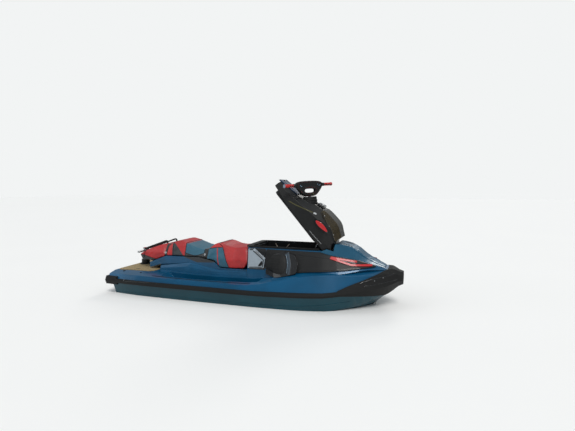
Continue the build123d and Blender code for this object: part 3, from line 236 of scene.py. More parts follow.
def castToward(triangles, origins, aims):
    # First hit of rays that each start at an origin and go toward an aim; returns points and outward normals.
    points, normals = [], []
    a, e1, e2 = triangles[:, 0], triangles[:, 1] - triangles[:, 0], triangles[:, 2] - triangles[:, 0]
    for start, d in zip(np.atleast_2d(origins), unit(np.atleast_2d(aims) - np.atleast_2d(origins))):
        p = np.cross(d, e2)
        det = (e1 * p).sum(1)
        det = np.where(np.abs(det) < 1e-14, np.nan, det)
        s = start - a
        q = np.cross(s, e1)
        u, v, t = (s * p).sum(1) / det, (q @ d) / det, (q * e2).sum(1) / det
        t = np.where((u > -1e-5) & (v > -1e-5) & (u + v < 1 + 1e-5) & (t > 0), t, np.inf)
        k = int(np.nanargmin(t))
        n = unit(np.cross(e1[k], e2[k]))
        points.append(start + d * (t[k] if np.isfinite(t[k]) else 0.0))
        normals.append(n * -np.sign(n @ d))
    return np.array(points), np.array(normals)


def seamRound(triangles, line, centreZ, angles, passes=3):
    # Where the slanted plane of a side-view line meets the cushion, going round it from side to side.
    line = np.asarray(line, float)
    line = line[np.argsort(line[:, 1])]
    a = np.radians(angles)
    z = np.full(len(a), centreZ)
    near = (triangles[:, :, 0].max(1) > line[:, 0].min()
            - 0.01) & (triangles[:, :, 0].min(1) < line[:, 0].max() + 0.01)
    triangles = triangles[near]
    for _ in range(passes):
        x = np.interp(z, line[:, 1], line[:, 0])
        origins = np.stack([x, np.cos(a) * 0.9, centreZ + np.sin(a) * 0.9], axis=-1)
        aims = np.stack([x, 0 * a, np.full(len(a), centreZ)], axis=-1)
        points, normals = castToward(triangles, origins, aims)
        z = points[:, 2]
    return points, normals


lidHinge = {"x": 0.871, "z": 0.664, "angle": math.radians(50.0)}


def opened(x, z):
    # Where a point of the closed lid lies in the photograph, with the lid turned up about its hinge.
    dx, dz = np.asarray(x, float) - lidHinge["x"], np.asarray(z, float) - lidHinge["z"]
    c, s = math.cos(lidHinge["angle"]), math.sin(lidHinge["angle"])
    return lidHinge["x"] + dx * c + dz * s, lidHinge["z"] - dx * s + dz * c


def onLid(points):
    # Points (x, y, z) given for the closed lid, moved to the opened lid.
    points = np.asarray(points, float)
    x, z = opened(points[..., 0], points[..., 2])
    return np.stack([x, points[..., 1], z], axis=-1)


def lidSide(line):
    # A side-view line of the closed lid, moved to the opened lid.
    line = np.asarray(line, float)
    return np.stack(opened(line[:, 0], line[:, 1]), axis=-1)


lidDown = (-math.sin(lidHinge["angle"]), 0.0, -math.cos(lidHinge["angle"]))
castFrom = {  # where rays start and which way they go, for each side of the craft
    "starboard": (lambda u, v: (u, -1.6 + 0 * u, v), (0, 1, 0)),
    "port": (lambda u, v: (u, 1.6 + 0 * u, v), (0, -1, 0)),
    "top": (lambda u, v: (u, v, 2.6 + 0 * u), (0, 0, -1)),
    "astern": (lambda u, v: (-2.6 + 0 * u, u, v), (1, 0, 0)),
    "below": (lambda u, v: (u, v, -1.6 + 0 * u), (0, 0, 1)),
    "lidTop": (lambda u, v: tuple(np.moveaxis(onLid(np.stack([u, v, 1.3 + 0 * u], axis=-1)), -1, 0)),
               lidDown),
    "insidePort": (lambda u, v: (u, 0 * u, v), (0, 1, 0)),
    "insideStarboard": (lambda u, v: (u, 0 * u, v), (0, -1, 0)),
}


def layOn(triangles, plan, side):
    # Points of a flat plan, (x, z) seen from a side or (x, y) from above, carried onto the surface.
    start, direction = castFrom[side]
    plan = np.asarray(plan, float)
    origins = np.stack(start(plan[..., 0], plan[..., 1]), axis=-1)
    points, normals = castOnto(triangles, origins, direction)
    return points.reshape(*plan.shape[:-1], 3), normals.reshape(*plan.shape[:-1], 3)


def stripOn(triangles, line, width, height, side, count=60, sink=0.002):
    # Moulding of rounded section along a line on a surface: plan = line + across * width, raised by height.
    centre = smoothPath(line, count)
    ahead = unit(np.gradient(centre, axis=0))
    across = np.stack([-ahead[:, 1], ahead[:, 0]], axis=-1)
    offsets = np.array([-0.5, -0.44, -0.2, 0.2, 0.44, 0.5])
    taper = np.minimum(1, np.sin(np.linspace(0.02, np.pi - 0.02, count)) * 6)[:, None]
    plan = centre[:, None] + across[:, None] * (offsets[None, :] * width * taper)[..., None]
    points, normals = layOn(triangles, plan, side)
    rise = np.array([-sink, height * 0.75, height, height, height * 0.75, -sink])
    return capped(points + normals * rise[None, :, None])


def padOn(triangles, outline, height, side, rings=7, sink=0.002, crown=0.0):
    # Raised panel inside a closed outline: rings shrink to the middle, and its edge is rounded.
    outline = np.asarray(outline, float)
    middle = outline.mean(0)
    s = np.concatenate([[1.0, 1.0, 0.985, 0.95], np.linspace(0.9, 0.05, rings)])
    rise = np.concatenate([[-sink, 0.6 * height, 0.93 * height, height],
                           height + crown * (1 - np.linspace(0.9, 0.05, rings) ** 2)])
    plan = middle + (outline - middle)[None] * s[:, None, None]
    points, normals = layOn(triangles, plan, side)
    return capped(points + normals * rise[:, None, None])


def runOf(points):
    # Distance of each point from the first, along the line.
    return np.concatenate([[0], np.cumsum(np.linalg.norm(np.diff(points, axis=0), axis=1))])


def readAlong(at, run, values):
    # Values of a line's points, read at these distances along it.
    return np.stack([np.interp(at, run, column) for column in values.T], axis=-1)


def roundedOutline(points, count, passes):
    # Closed outline with its corners cut by Chaikin's rule, then spread evenly.
    p = np.asarray(points, float)
    for _ in range(passes):
        q = np.roll(p, -1, axis=0)
        p = np.stack([0.75 * p + 0.25 * q, 0.25 * p + 0.75 * q], axis=1).reshape(-1, 2)
    loop = np.vstack([p, p[:1]])
    run = runOf(loop)
    return readAlong(np.linspace(0, run[-1], count, endpoint=False), run, loop)


def roundedPlan(rear, front, half, corner, count=12):
    # Rectangle with round corners: corner centre + corner (cos a, sin a), a over a quarter turn at each.
    plan = []
    for x, y, start in ((front - corner, half - corner, 0), (rear + corner, half - corner, 90),
                        (rear + corner, corner - half, 180), (front - corner, corner - half, 270)):
        turn = np.radians(np.linspace(start, start + 90, count))
        plan.append(np.stack([x + corner * np.cos(turn), y + corner * np.sin(turn)], axis=-1))
    return np.vstack(plan)


def repeated(shape, places, ahead, normals):
    # One small shape set at many places, its x along ahead and its z along the normal.
    points, faces = shape
    x = unit(np.asarray(ahead, float))
    z = unit(np.asarray(normals, float))
    y = np.cross(z, x)
    x = np.cross(y, z)
    turn = np.stack([x, y, z], axis=1)
    placed = np.einsum("vk,nkj->nvj", points, turn) + np.asarray(places, float)[:, None]
    many = [[[v + i * len(points) for v in face] for face in faces] for i in range(len(placed))]
    return placed.reshape(-1, 3), [face for group in many for face in group]


def stud(radius, height, sides=12):
    # Low round head: a short wall, a chamfer and a slightly domed top.
    profile = [(-0.4 * height, radius), (0.6 * height, radius), (0.9 * height, 0.86 * radius),
               (height, 0.5 * radius)]
    return turned(profile, (0, 0, 0), (0, 0, 1), sides)


def stitchShape(length=0.0032, radius=0.0007):
    # One thread of a seam: a spindle of six-sided rings.
    t = np.linspace(0, 1, 5)
    path = np.stack([(t - 0.5) * length, 0 * t, radius * 0.9 * np.sin(np.pi * t)], axis=-1)
    return tube(path, radius * np.array([0.35, 0.9, 1.0, 0.9, 0.35]), 5)


# Materials

def rgb(code):
    # Hex colour as linear red, green, blue and 1.
    values = np.array([int(code[i:i + 2], 16) for i in (1, 3, 5)]) / 255
    linear = np.where(values <= 0.04045, values / 12.92, ((values + 0.055) / 1.055) ** 2.4)
    return (*linear.tolist(), 1.0)


def plug(tree, socket, value):
    # A socket gets a link from another socket, or a constant.
    if isinstance(value, bpy.types.NodeSocket):
        tree.links.new(value, socket)
    else:
        socket.default_value = value


def put(tree, kind, values=None, **settings):
    # A shader node with its settings and its inputs, which are named or numbered.
    node = tree.nodes.new("ShaderNode" + kind)
    for name, value in settings.items():
        setattr(node, name, value)
    for name, value in (values or {}).items():
        plug(tree, node.inputs[name], value)
    return node


def maths(tree, operation, a, b=0.0, c=0.0, clamp=False):
    # One sum on sockets or constants.
    return put(tree, "Math", {0: a, 1: b, 2: c}, operation=operation, use_clamp=clamp).outputs[0]


def mixed(tree, mask, a, b):
    # Colour a where the mask is 0, colour b where it is 1.
    return put(tree, "Mix", {0: mask, 6: a, 7: b}, data_type="RGBA").outputs[2]


def spread(tree, value, low, high, toLow=0.0, toHigh=1.0):
    # The value stretched from low..high to toLow..toHigh, and held at both ends.
    return put(tree, "MapRange", {0: value, 1: low, 2: high, 3: toLow, 4: toHigh}, clamp=True).outputs[0]


def newGroup(name, inputs, outputs):
    # A shader group; inputs are (name, default), outputs are (name, kind of socket).
    group = bpy.data.node_groups.new(name, "ShaderNodeTree")
    for label, value in inputs:
        kind = "NodeSocketVector" if isinstance(value, tuple) else "NodeSocketFloat"
        socket = group.interface.new_socket(label, in_out="INPUT", socket_type=kind)
        socket.default_value = value
    for label, kind in outputs:
        group.interface.new_socket(label, in_out="OUTPUT", socket_type="NodeSocket" + kind)
    return group, group.nodes.new("NodeGroupInput").outputs, group.nodes.new("NodeGroupOutput").inputs


def useGroup(tree, group, **values):
    # A shader group placed in a material, with its own values.
    node = tree.nodes.new("ShaderNodeGroup")
    node.node_tree = group
    for name, value in values.items():
        plug(tree, node.inputs[name], value)
    return node.outputs


def makeEdgeGroup():
    # Worn edges: where the rounded normal leaves the true one, broken up by noise.
    group, given, result = newGroup("edgeWear", [("Place", (0, 0, 0)), ("Width", 0.003), ("Amount", 0.5)],
                                    [("Mask", "Float")])
    bevel = put(group, "Bevel", {"Radius": given["Width"]}, samples=4)
    geometry = put(group, "NewGeometry")
    product = put(group, "VectorMath", {0: bevel.outputs[0], 1: geometry.outputs["Normal"]},
                  operation="DOT_PRODUCT")
    turn = spread(group, product.outputs["Value"], 0.995, 0.86)
    noise = put(group, "TexNoise", {"Vector": given["Place"], "Scale": 38.0, "Detail": 5.0, "Roughness": 0.7})
    broken = spread(group, noise.outputs["Fac"], 0.46, 0.62)
    plug(group, result["Mask"], maths(group, "MULTIPLY", maths(group, "MULTIPLY", turn, broken),
                                      given["Amount"], clamp=True))
    return group


def makeSaltGroup():
    # Dried spray: small round spots in loose patches, stronger on faces that look up.
    group, given, result = newGroup("driedSpray", [("Place", (0, 0, 0)), ("Scale", 95.0), ("Amount", 0.5)],
                                    [("Mask", "Float")])
    spots = put(group, "TexVoronoi", {"Vector": given["Place"], "Scale": given["Scale"], "Randomness": 1.0})
    dot = spread(group, spots.outputs["Distance"], 0.34, 0.16)
    patches = put(group, "TexNoise", {"Vector": given["Place"], "Scale": 5.5, "Detail": 4.0,
                                      "Roughness": 0.65})
    patch = spread(group, patches.outputs["Fac"], 0.48, 0.7)
    facing = put(group, "SeparateXYZ", {0: put(group, "NewGeometry").outputs["Normal"]}).outputs["Z"]
    upward = spread(group, facing, -0.3, 0.9, 0.25, 1.0)
    mask = maths(group, "MULTIPLY", maths(group, "MULTIPLY", dot, patch),
                 maths(group, "MULTIPLY", upward, given["Amount"]), clamp=True)
    plug(group, result["Mask"], mask)
    return group


def makeGrainGroup():
    # Moulded grain: fine cells over a slow waviness.
    group, given, result = newGroup("mouldedGrain", [("Place", (0, 0, 0)), ("Scale", 900.0)],
                                    [("Height", "Float"), ("Shade", "Float")])
    cells = put(group, "TexVoronoi", {"Vector": given["Place"], "Scale": given["Scale"]}, feature="SMOOTH_F1")
    slow = put(group, "TexNoise", {"Vector": given["Place"], "Scale": 9.0, "Detail": 6.0, "Roughness": 0.6})
    height = maths(group, "MULTIPLY_ADD", cells.outputs["Distance"], 0.8,
                   maths(group, "MULTIPLY", slow.outputs["Fac"], 0.2))
    plug(group, result["Height"], height)
    plug(group, result["Shade"], slow.outputs["Fac"])
    return group


def makeScuffGroup():
    # Scratches: thin bands of stretched noise that run fore and aft, in patches.
    group, given, result = newGroup("scuffs", [("Place", (0, 0, 0)), ("Amount", 0.5)], [("Mask", "Float")])
    long = put(group, "VectorMath", {0: given["Place"], 1: (5.0, 60.0, 160.0)},
               operation="MULTIPLY").outputs[0]
    lines = put(group, "TexNoise", {"Vector": long, "Scale": 1.0, "Detail": 3.0, "Roughness": 0.7,
                                    "Distortion": 0.6})
    line = spread(group, lines.outputs["Fac"], 0.64, 0.72)
    patches = put(group, "TexNoise", {"Vector": given["Place"], "Scale": 3.2, "Detail": 3.0})
    patch = spread(group, patches.outputs["Fac"], 0.5, 0.68)
    plug(group, result["Mask"], maths(group, "MULTIPLY", maths(group, "MULTIPLY", line, patch),
                                      given["Amount"], clamp=True))
    return group


def makeFlakeGroup():
    # Metal flake in paint: every tiny cell has its own brightness.
    group, given, result = newGroup("paintFlake", [("Place", (0, 0, 0)), ("Scale", 1400.0)],
                                    [("Spark", "Float"), ("Drift", "Float")])
    cells = put(group, "TexVoronoi", {"Vector": given["Place"], "Scale": given["Scale"]})
    spark = put(group, "SeparateXYZ", {0: cells.outputs["Color"]}).outputs["X"]
    drift = put(group, "TexNoise", {"Vector": given["Place"], "Scale": 2.4, "Detail": 3.0})
    plug(group, result["Spark"], spark)
    plug(group, result["Drift"], drift.outputs["Fac"])
    return group


def makeWeaveGroup():
    # Webbing: sine waves of one pitch along x, y and z; x times z plus x times y gives the threads.
    group, given, result = newGroup("webbing", [("Place", (0, 0, 0)), ("Rate", 2400.0)],
                                    [("Height", "Float")])
    parts = put(group, "SeparateXYZ", {0: given["Place"]}).outputs
    along, across, upright = [maths(group, "SINE", maths(group, "MULTIPLY", parts[axis], given["Rate"]))
                              for axis in "XYZ"]
    product = maths(group, "ADD", maths(group, "MULTIPLY", along, upright),
                    maths(group, "MULTIPLY", along, across))
    plug(group, result["Height"], spread(group, product, -1.0, 1.0))
    return group


def makeTreadGroup():
    # Diamond tread: |sin| of two slanted directions gives raised lozenges between narrow grooves.
    group, given, result = newGroup("diamondTread", [("Place", (0, 0, 0)), ("Pitch", 0.022)],
                                    [("Height", "Float"), ("Groove", "Float")])
    parts = put(group, "SeparateXYZ", {0: given["Place"]}).outputs
    rate = maths(group, "DIVIDE", math.pi, given["Pitch"])
    slant = maths(group, "MULTIPLY", parts["X"], 0.55)  # lozenges are longer fore and aft
    waves = []
    for way in ("ADD", "SUBTRACT"):
        place = maths(group, "MULTIPLY", maths(group, way, slant, parts["Y"]), rate)
        waves.append(maths(group, "ABSOLUTE", maths(group, "SINE", place)))
    lowest = maths(group, "MINIMUM", *waves)
    plug(group, result["Height"], spread(group, lowest, 0.1, 0.4))
    plug(group, result["Groove"], spread(group, lowest, 0.24, 0.08))
    return group


edgeGroup, saltGroup, grainGroup = makeEdgeGroup(), makeSaltGroup(), makeGrainGroup()
scuffGroup, flakeGroup = makeScuffGroup(), makeFlakeGroup()
weaveGroup, treadGroup = makeWeaveGroup(), makeTreadGroup()


def newMaterial(name):
    # A material with its principled shader, and the place on the object that its patterns read.
    material = bpy.data.materials.new(name)
    material.use_nodes = True
    tree = material.node_tree
    tree.nodes.clear()
    shader = put(tree, "BsdfPrincipled")
    output = put(tree, "OutputMaterial")
    tree.links.new(shader.outputs["BSDF"], output.inputs["Surface"])
    place = put(tree, "TexCoord").outputs["Object"]
    return material, tree, shader, place


def paintMaterial(name, look):
    # Clear-coated metallic paint: flake, a slow drift of tone, dried spray and a few scuffs.
    material, tree, shader, place = newMaterial(name)
    flake = useGroup(tree, flakeGroup, Place=place)
    tone = mixed(tree, spread(tree, flake["Drift"], 0.35, 0.65), rgb(look["deep"]), rgb(look["colour"]))
    tone = mixed(tree, spread(tree, flake["Spark"], 0.82, 1.0, 0.0, look["flake"]), tone, rgb(look["light"]))
    spray = useGroup(tree, saltGroup, Place=place, Amount=look["spray"])["Mask"]
    scuff = useGroup(tree, scuffGroup, Place=place, Amount=look["scuffs"])["Mask"]
    tone = mixed(tree, maths(tree, "MAXIMUM", spray, scuff), tone, rgb(look["dust"]))
    bevel = put(tree, "Bevel", {"Radius": look["edge"]}, samples=4)
    plug(tree, shader.inputs["Base Color"], tone)
    plug(tree, shader.inputs["Roughness"], maths(tree, "MULTIPLY_ADD", spray, 0.35,
                                                 maths(tree, "MULTIPLY_ADD", scuff, 0.3, look["roughness"])))
    plug(tree, shader.inputs["Normal"], bevel.outputs[0])
    shader.inputs["Metallic"].default_value = look["metallic"]
    shader.inputs["Coat Weight"].default_value = look["coat"]
    shader.inputs["Coat Roughness"].default_value = 0.05
    shader.inputs["Specular IOR Level"].default_value = 0.3
    return material


def mouldedMaterial(name, look):
    # Moulded plastic or rubber: grain, worn edges, scuffs and dried spray.
    material, tree, shader, place = newMaterial(name)
    grain = useGroup(tree, grainGroup, Place=place, Scale=look["grain"])
    tone = mixed(tree, spread(tree, grain["Shade"], 0.3, 0.7), rgb(look["deep"]), rgb(look["colour"]))
    wear = useGroup(tree, edgeGroup, Place=place, Width=0.003, Amount=look["wear"])["Mask"]
    spray = useGroup(tree, saltGroup, Place=place, Amount=look["spray"])["Mask"]
    scuff = useGroup(tree, scuffGroup, Place=place, Amount=look["scuffs"])["Mask"]
    tone = mixed(tree, wear, tone, rgb(look["worn"]))
    tone = mixed(tree, maths(tree, "MAXIMUM", spray, scuff), tone, rgb(look["dust"]))
    bevel = put(tree, "Bevel", {"Radius": look["edge"]}, samples=4)
    bump = put(tree, "Bump", {"Height": grain["Height"], "Strength": look["bump"], "Distance": 0.0006,
                              "Normal": bevel.outputs[0]})
    plug(tree, shader.inputs["Base Color"], tone)
    plug(tree, shader.inputs["Roughness"], maths(tree, "MULTIPLY_ADD", grain["Shade"], 0.2,
                                                 look["roughness"] - 0.1))
    plug(tree, shader.inputs["Normal"], bump.outputs[0])
    shader.inputs["Coat Weight"].default_value = look["coat"]
    shader.inputs["Specular IOR Level"].default_value = 0.3
    return material


def metalMaterial(name, look):
    # Bare metal: fine brushing, stains in the hollows and bright worn edges.
    material, tree, shader, place = newMaterial(name)
    long = put(tree, "VectorMath", {0: place, 1: look["brush"]}, operation="MULTIPLY").outputs[0]
    lines = put(tree, "TexNoise", {"Vector": long, "Scale": 1.0, "Detail": 4.0, "Roughness": 0.6})
    stains = put(tree, "TexNoise", {"Vector": place, "Scale": 26.0, "Detail": 5.0, "Roughness": 0.65})
    stain = spread(tree, stains.outputs["Fac"], 0.5, 0.68, 0.0, look["stain"])
    wear = useGroup(tree, edgeGroup, Place=place, Width=0.002, Amount=0.6)["Mask"]
    tone = mixed(tree, stain, rgb(look["colour"]), rgb(look["stained"]))
    tone = mixed(tree, wear, tone, rgb(look["bright"]))
    bevel = put(tree, "Bevel", {"Radius": 0.0015}, samples=4)
    bump = put(tree, "Bump", {"Height": lines.outputs["Fac"], "Strength": 0.12, "Distance": 0.0004,
                              "Normal": bevel.outputs[0]})
    plug(tree, shader.inputs["Base Color"], tone)
    plug(tree, shader.inputs["Roughness"], maths(tree, "MULTIPLY_ADD", lines.outputs["Fac"], 0.16,
                                                 maths(tree, "MULTIPLY_ADD", stain, 0.3, look["roughness"])))
    plug(tree, shader.inputs["Normal"], bump.outputs[0])
    shader.inputs["Metallic"].default_value = look["metallic"]
    return material


def matMaterial(name, look):
    # Foam traction mat: lozenges with darker grooves, fine foam grain and sand in the grooves.
    material, tree, shader, place = newMaterial(name)
    tread = useGroup(tree, treadGroup, Place=place, Pitch=look["pitch"])
    grain = useGroup(tree, grainGroup, Place=place, Scale=1100.0)
    tone = mixed(tree, spread(tree, grain["Shade"], 0.3, 0.7), rgb(look["deep"]), rgb(look["colour"]))
    tone = mixed(tree, maths(tree, "MULTIPLY", tread["Groove"], look["groove"]), tone, rgb(look["grooved"]))
    sand = useGroup(tree, saltGroup, Place=place, Scale=320.0, Amount=look["sand"])["Mask"]
    tone = mixed(tree, sand, tone, rgb("#b9a37c"))
    height = maths(tree, "MULTIPLY_ADD", grain["Height"], 0.18, tread["Height"])
    bump = put(tree, "Bump", {"Height": height, "Strength": 0.7, "Distance": 0.0018})
    plug(tree, shader.inputs["Base Color"], tone)
    plug(tree, shader.inputs["Roughness"], maths(tree, "MULTIPLY_ADD", grain["Shade"], 0.15, 0.72))
    plug(tree, shader.inputs["Normal"], bump.outputs[0])
    return material


def coverMaterial(name, look):
    # Seat vinyl: leather cells, creases, and bands of other colours between lines in the side view.
    material, tree, shader, place = newMaterial(name)
    cells = put(tree, "TexVoronoi", {"Vector": place, "Scale": 420.0}, feature="DISTANCE_TO_EDGE")
    crease = spread(tree, cells.outputs["Distance"], 0.0, 0.12)
    drift = put(tree, "TexNoise", {"Vector": place, "Scale": 7.0, "Detail": 5.0, "Roughness": 0.6})
    tone = mixed(tree, spread(tree, drift.outputs["Fac"], 0.32, 0.68), rgb(look["deep"]), rgb(look["colour"]))
    parts = put(tree, "SeparateXYZ", {0: place}).outputs
    for region in look["regions"]:
        mask = 1.0
        for (x0, z0), (x1, z1) in region["lines"]:
            reach = math.hypot(x1 - x0, z1 - z0)
            acrossX = maths(tree, "MULTIPLY", parts["X"], (z0 - z1) / reach)
            acrossZ = maths(tree, "MULTIPLY_ADD", parts["Z"], (x1 - x0) / reach, acrossX)
            inside = spread(tree, acrossZ, (x0 * (z0 - z1) + z0 * (x1 - x0)) / reach - 0.0006,
                            (x0 * (z0 - z1) + z0 * (x1 - x0)) / reach + 0.0006)
            mask = inside if mask == 1.0 else maths(tree, "MULTIPLY", mask, inside)
        if "beyond" in region:  # only this far out from the centre line
            out = spread(tree, maths(tree, "ABSOLUTE", parts["Y"]), region["beyond"] - 0.001,
                         region["beyond"] + 0.001)
            mask = maths(tree, "MULTIPLY", mask, out)
        patch = mixed(tree, spread(tree, drift.outputs["Fac"], 0.32, 0.68), rgb(region["deep"]),
                      rgb(region["colour"]))
        tone = mixed(tree, mask, tone, patch)
    spray = useGroup(tree, saltGroup, Place=place, Amount=0.25)["Mask"]
    tone = mixed(tree, spray, tone, rgb("#c9cdc9"))
    bump = put(tree, "Bump", {"Height": crease, "Strength": 0.22, "Distance": 0.0005})
    wave = put(tree, "Bump", {"Height": drift.outputs["Fac"], "Strength": 0.25, "Distance": 0.004,
                              "Normal": bump.outputs[0]})
    plug(tree, shader.inputs["Base Color"], tone)
    plug(tree, shader.inputs["Roughness"], maths(tree, "MULTIPLY_ADD", drift.outputs["Fac"], 0.2, 0.36))
    plug(tree, shader.inputs["Normal"], wave.outputs[0])
    shader.inputs["Coat Weight"].default_value = 0.12
    shader.inputs["Coat Roughness"].default_value = 0.3
    return material


def webMaterial(name, look):
    # Woven strap.
    material, tree, shader, place = newMaterial(name)
    weave = useGroup(tree, weaveGroup, Place=place)["Height"]
    tone = mixed(tree, weave, rgb(look["deep"]), rgb(look["colour"]))
    bump = put(tree, "Bump", {"Height": weave, "Strength": 0.6, "Distance": 0.0005})
    plug(tree, shader.inputs["Base Color"], tone)
    plug(tree, shader.inputs["Roughness"], maths(tree, "MULTIPLY_ADD", weave, 0.15, 0.66))
    plug(tree, shader.inputs["Normal"], bump.outputs[0])
    shader.inputs["Sheen Weight"].default_value = 0.3
    return material


def smokedMaterial(name):
    # Dark see-through acrylic with a faint haze of salt.
    material, tree, shader, place = newMaterial(name)
    haze = useGroup(tree, saltGroup, Place=place, Amount=0.5)["Mask"]
    tone = mixed(tree, haze, rgb("#4a4029"), rgb("#8c8470"))
    plug(tree, shader.inputs["Base Color"], tone)
    plug(tree, shader.inputs["Roughness"], maths(tree, "MULTIPLY_ADD", haze, 0.4, 0.08))
    shader.inputs["Transmission Weight"].default_value = 0.55
    shader.inputs["IOR"].default_value = 1.49
    return material


deckBlue = {"colour": "#045077", "deep": "#034466"}
paintLooks = {
    "hull_paint": {"colour": "#05424f", "deep": "#043945", "light": "#2f7386", "flake": 0.2,
                   "roughness": 0.34, "metallic": 0.1, "coat": 0.15, "spray": 0.08, "scuffs": 0.22,
                   "dust": "#8fa5a8", "edge": 0.006},
    "deck_paint": {**deckBlue, "light": "#3d88ae", "flake": 0.25, "roughness": 0.3, "metallic": 0.15,
                   "coat": 0.28, "spray": 0.08, "scuffs": 0.08, "dust": "#a9bcc4", "edge": 0.006},
    "hood_paint": {"colour": "#04516f", "deep": "#034560", "light": "#3d88a8", "flake": 0.25,
                   "roughness": 0.28, "metallic": 0.15, "coat": 0.28, "spray": 0.06, "scuffs": 0.06,
                   "dust": "#a9bcc4", "edge": 0.005},
    "door_blue": {"colour": "#143250", "deep": "#102943", "light": "#2f5172", "flake": 0.05,
                  "roughness": 0.6, "metallic": 0.0, "coat": 0.0, "spray": 0.04, "scuffs": 0.08,
                  "dust": "#7f94a2", "edge": 0.003},
    "grey_blue": {"colour": "#7f9bb0", "deep": "#6f8ba1", "light": "#b9cedd", "flake": 0.25,
                  "roughness": 0.32, "metallic": 0.35, "coat": 0.4, "spray": 0.08, "scuffs": 0.12,
                  "dust": "#c7cfd3", "edge": 0.003},
    "red_paint": {"colour": "#c4262a", "deep": "#b01f24", "light": "#e0605a", "flake": 0.05,
                  "roughness": 0.34, "metallic": 0.0, "coat": 0.3, "spray": 0.05, "scuffs": 0.1,
                  "dust": "#c9938c", "edge": 0.003},
    "engine_grey": {"colour": "#44484c", "deep": "#383c40", "light": "#777b80", "flake": 0.1,
                    "roughness": 0.5, "metallic": 0.2, "coat": 0.0, "spray": 0.0, "scuffs": 0.1,
                    "dust": "#8a8780", "edge": 0.004},
}
mouldedLooks = {
    "lid_paint": {"colour": "#151616", "deep": "#101111", "worn": "#414345", "dust": "#6d6f6e",
                  "grain": 900.0, "roughness": 0.46, "bump": 0.2, "wear": 0.15, "spray": 0.18,
                  "scuffs": 0.2, "coat": 0.12, "edge": 0.005},
    "black_plastic": {"colour": "#131415", "deep": "#0e0f10", "worn": "#47494b", "dust": "#6f7272",
                      "grain": 850.0, "roughness": 0.52, "bump": 0.3, "wear": 0.25, "spray": 0.2,
                      "scuffs": 0.25, "coat": 0.05, "edge": 0.004},
    "black_gloss": {"colour": "#0f1012", "deep": "#0b0c0e", "worn": "#4b4e52", "dust": "#767a7c",
                    "grain": 1200.0, "roughness": 0.2, "bump": 0.06, "wear": 0.2, "spray": 0.2,
                    "scuffs": 0.2, "coat": 0.7, "edge": 0.004},
    "black_rubber": {"colour": "#131414", "deep": "#0e0e0f", "worn": "#484540", "dust": "#6b675f",
                     "grain": 700.0, "roughness": 0.7, "bump": 0.35, "wear": 0.25, "spray": 0.22,
                     "scuffs": 0.3, "coat": 0.0, "edge": 0.003},
    # Knee ridge: its grey-blue is partly its own colour and partly a painted highlight along the ridge
    "knee_ridge": {"colour": "#37434e", "deep": "#2d3842", "worn": "#6b7a86", "dust": "#7f8a90",
                   "grain": 1200.0, "roughness": 0.3, "bump": 0.05, "wear": 0.2, "spray": 0.1,
                   "scuffs": 0.15, "coat": 0.5, "edge": 0.004},
    "pad_black": {"colour": "#121313", "deep": "#0d0e0e", "worn": "#3a3b3c", "dust": "#5f6060",
                  "grain": 420.0, "roughness": 0.6, "bump": 0.45, "wear": 0.1, "spray": 0.12,
                  "scuffs": 0.15, "coat": 0.03, "edge": 0.003},
    "lens_dark": {"colour": "#1b2a36", "deep": "#13202b", "worn": "#3c4f5d", "dust": "#5f6e78",
                  "grain": 2000.0, "roughness": 0.1, "bump": 0.0, "wear": 0.0, "spray": 0.1, "scuffs": 0.05,
                  "coat": 1.0, "edge": 0.002},
    "loop_orange": {"colour": "#d9592b", "deep": "#c24a20", "worn": "#e89a76", "dust": "#e3b298",
                    "grain": 1500.0, "roughness": 0.6, "bump": 0.3, "wear": 0.2, "spray": 0.0,
                    "scuffs": 0.0, "coat": 0.0, "edge": 0.001},
    "grip_red": {"colour": "#c4302d", "deep": "#ad2725", "worn": "#8c3330", "dust": "#7c4a45",
                 "grain": 1000.0, "roughness": 0.58, "bump": 0.4, "wear": 0.3, "spray": 0.1, "scuffs": 0.2,
                 "coat": 0.0, "edge": 0.002},
    "olive": {"colour": "#4d4b2a", "deep": "#403e22", "worn": "#6a6742", "dust": "#7b775c", "grain": 900.0,
              "roughness": 0.5, "bump": 0.2, "wear": 0.2, "spray": 0.0, "scuffs": 0.1, "coat": 0.1,
              "edge": 0.001},
    "gauge_glass": {"colour": "#0c1114", "deep": "#080c0f", "worn": "#20282d", "dust": "#4d565b",
                    "grain": 2000.0, "roughness": 0.12, "bump": 0.0, "wear": 0.0, "spray": 0.15,
                    "scuffs": 0.1, "coat": 1.0, "edge": 0.001},
    # Pale colour of the bin's V strips, which are painted highlights
    "pale_trim": {"colour": "#b7a99b", "deep": "#a3968a", "worn": "#d8cfc6", "dust": "#cfc8bf",
                  "grain": 900.0, "roughness": 0.45, "bump": 0.1, "wear": 0.2, "spray": 0.0, "scuffs": 0.1,
                  "coat": 0.1, "edge": 0.001},
}
metalLooks = {
    "panel_metal": {"colour": "#a9b4bd", "stained": "#8793a0", "bright": "#d8dfe4",
                    "brush": (60.0, 900.0, 60.0), "stain": 0.3, "roughness": 0.34, "metallic": 0.55},
    "aluminium": {"colour": "#b4b7b9", "stained": "#8d8f8c", "bright": "#dfe1e2",
                  "brush": (60.0, 900.0, 900.0), "stain": 0.5, "roughness": 0.28, "metallic": 0.9},
    "steel": {"colour": "#a9abad", "stained": "#7d756a", "bright": "#d7d9da", "brush": (900.0, 900.0, 60.0),
              "stain": 0.45, "roughness": 0.22, "metallic": 1.0},
    "chrome": {"colour": "#d2d5d8", "stained": "#a1a4a5", "bright": "#f0f1f2",
               "brush": (900.0, 60.0, 900.0), "stain": 0.25, "roughness": 0.08, "metallic": 1.0},
}
matLooks = {
    "mat_black": {"colour": "#2a2b2c", "deep": "#212223", "grooved": "#0f1011", "groove": 0.8,
                  "pitch": 0.024, "sand": 0.35},
    "mat_tan": {"colour": "#a3906b", "deep": "#8f7d5b", "grooved": "#564a35", "groove": 0.75,
                "pitch": 0.030, "sand": 0.4},
}
webLooks = {"strap_black": {"colour": "#2b2c2e", "deep": "#141516"}}
seatRed = {"colour": "#b22527", "deep": "#9a1d20"}
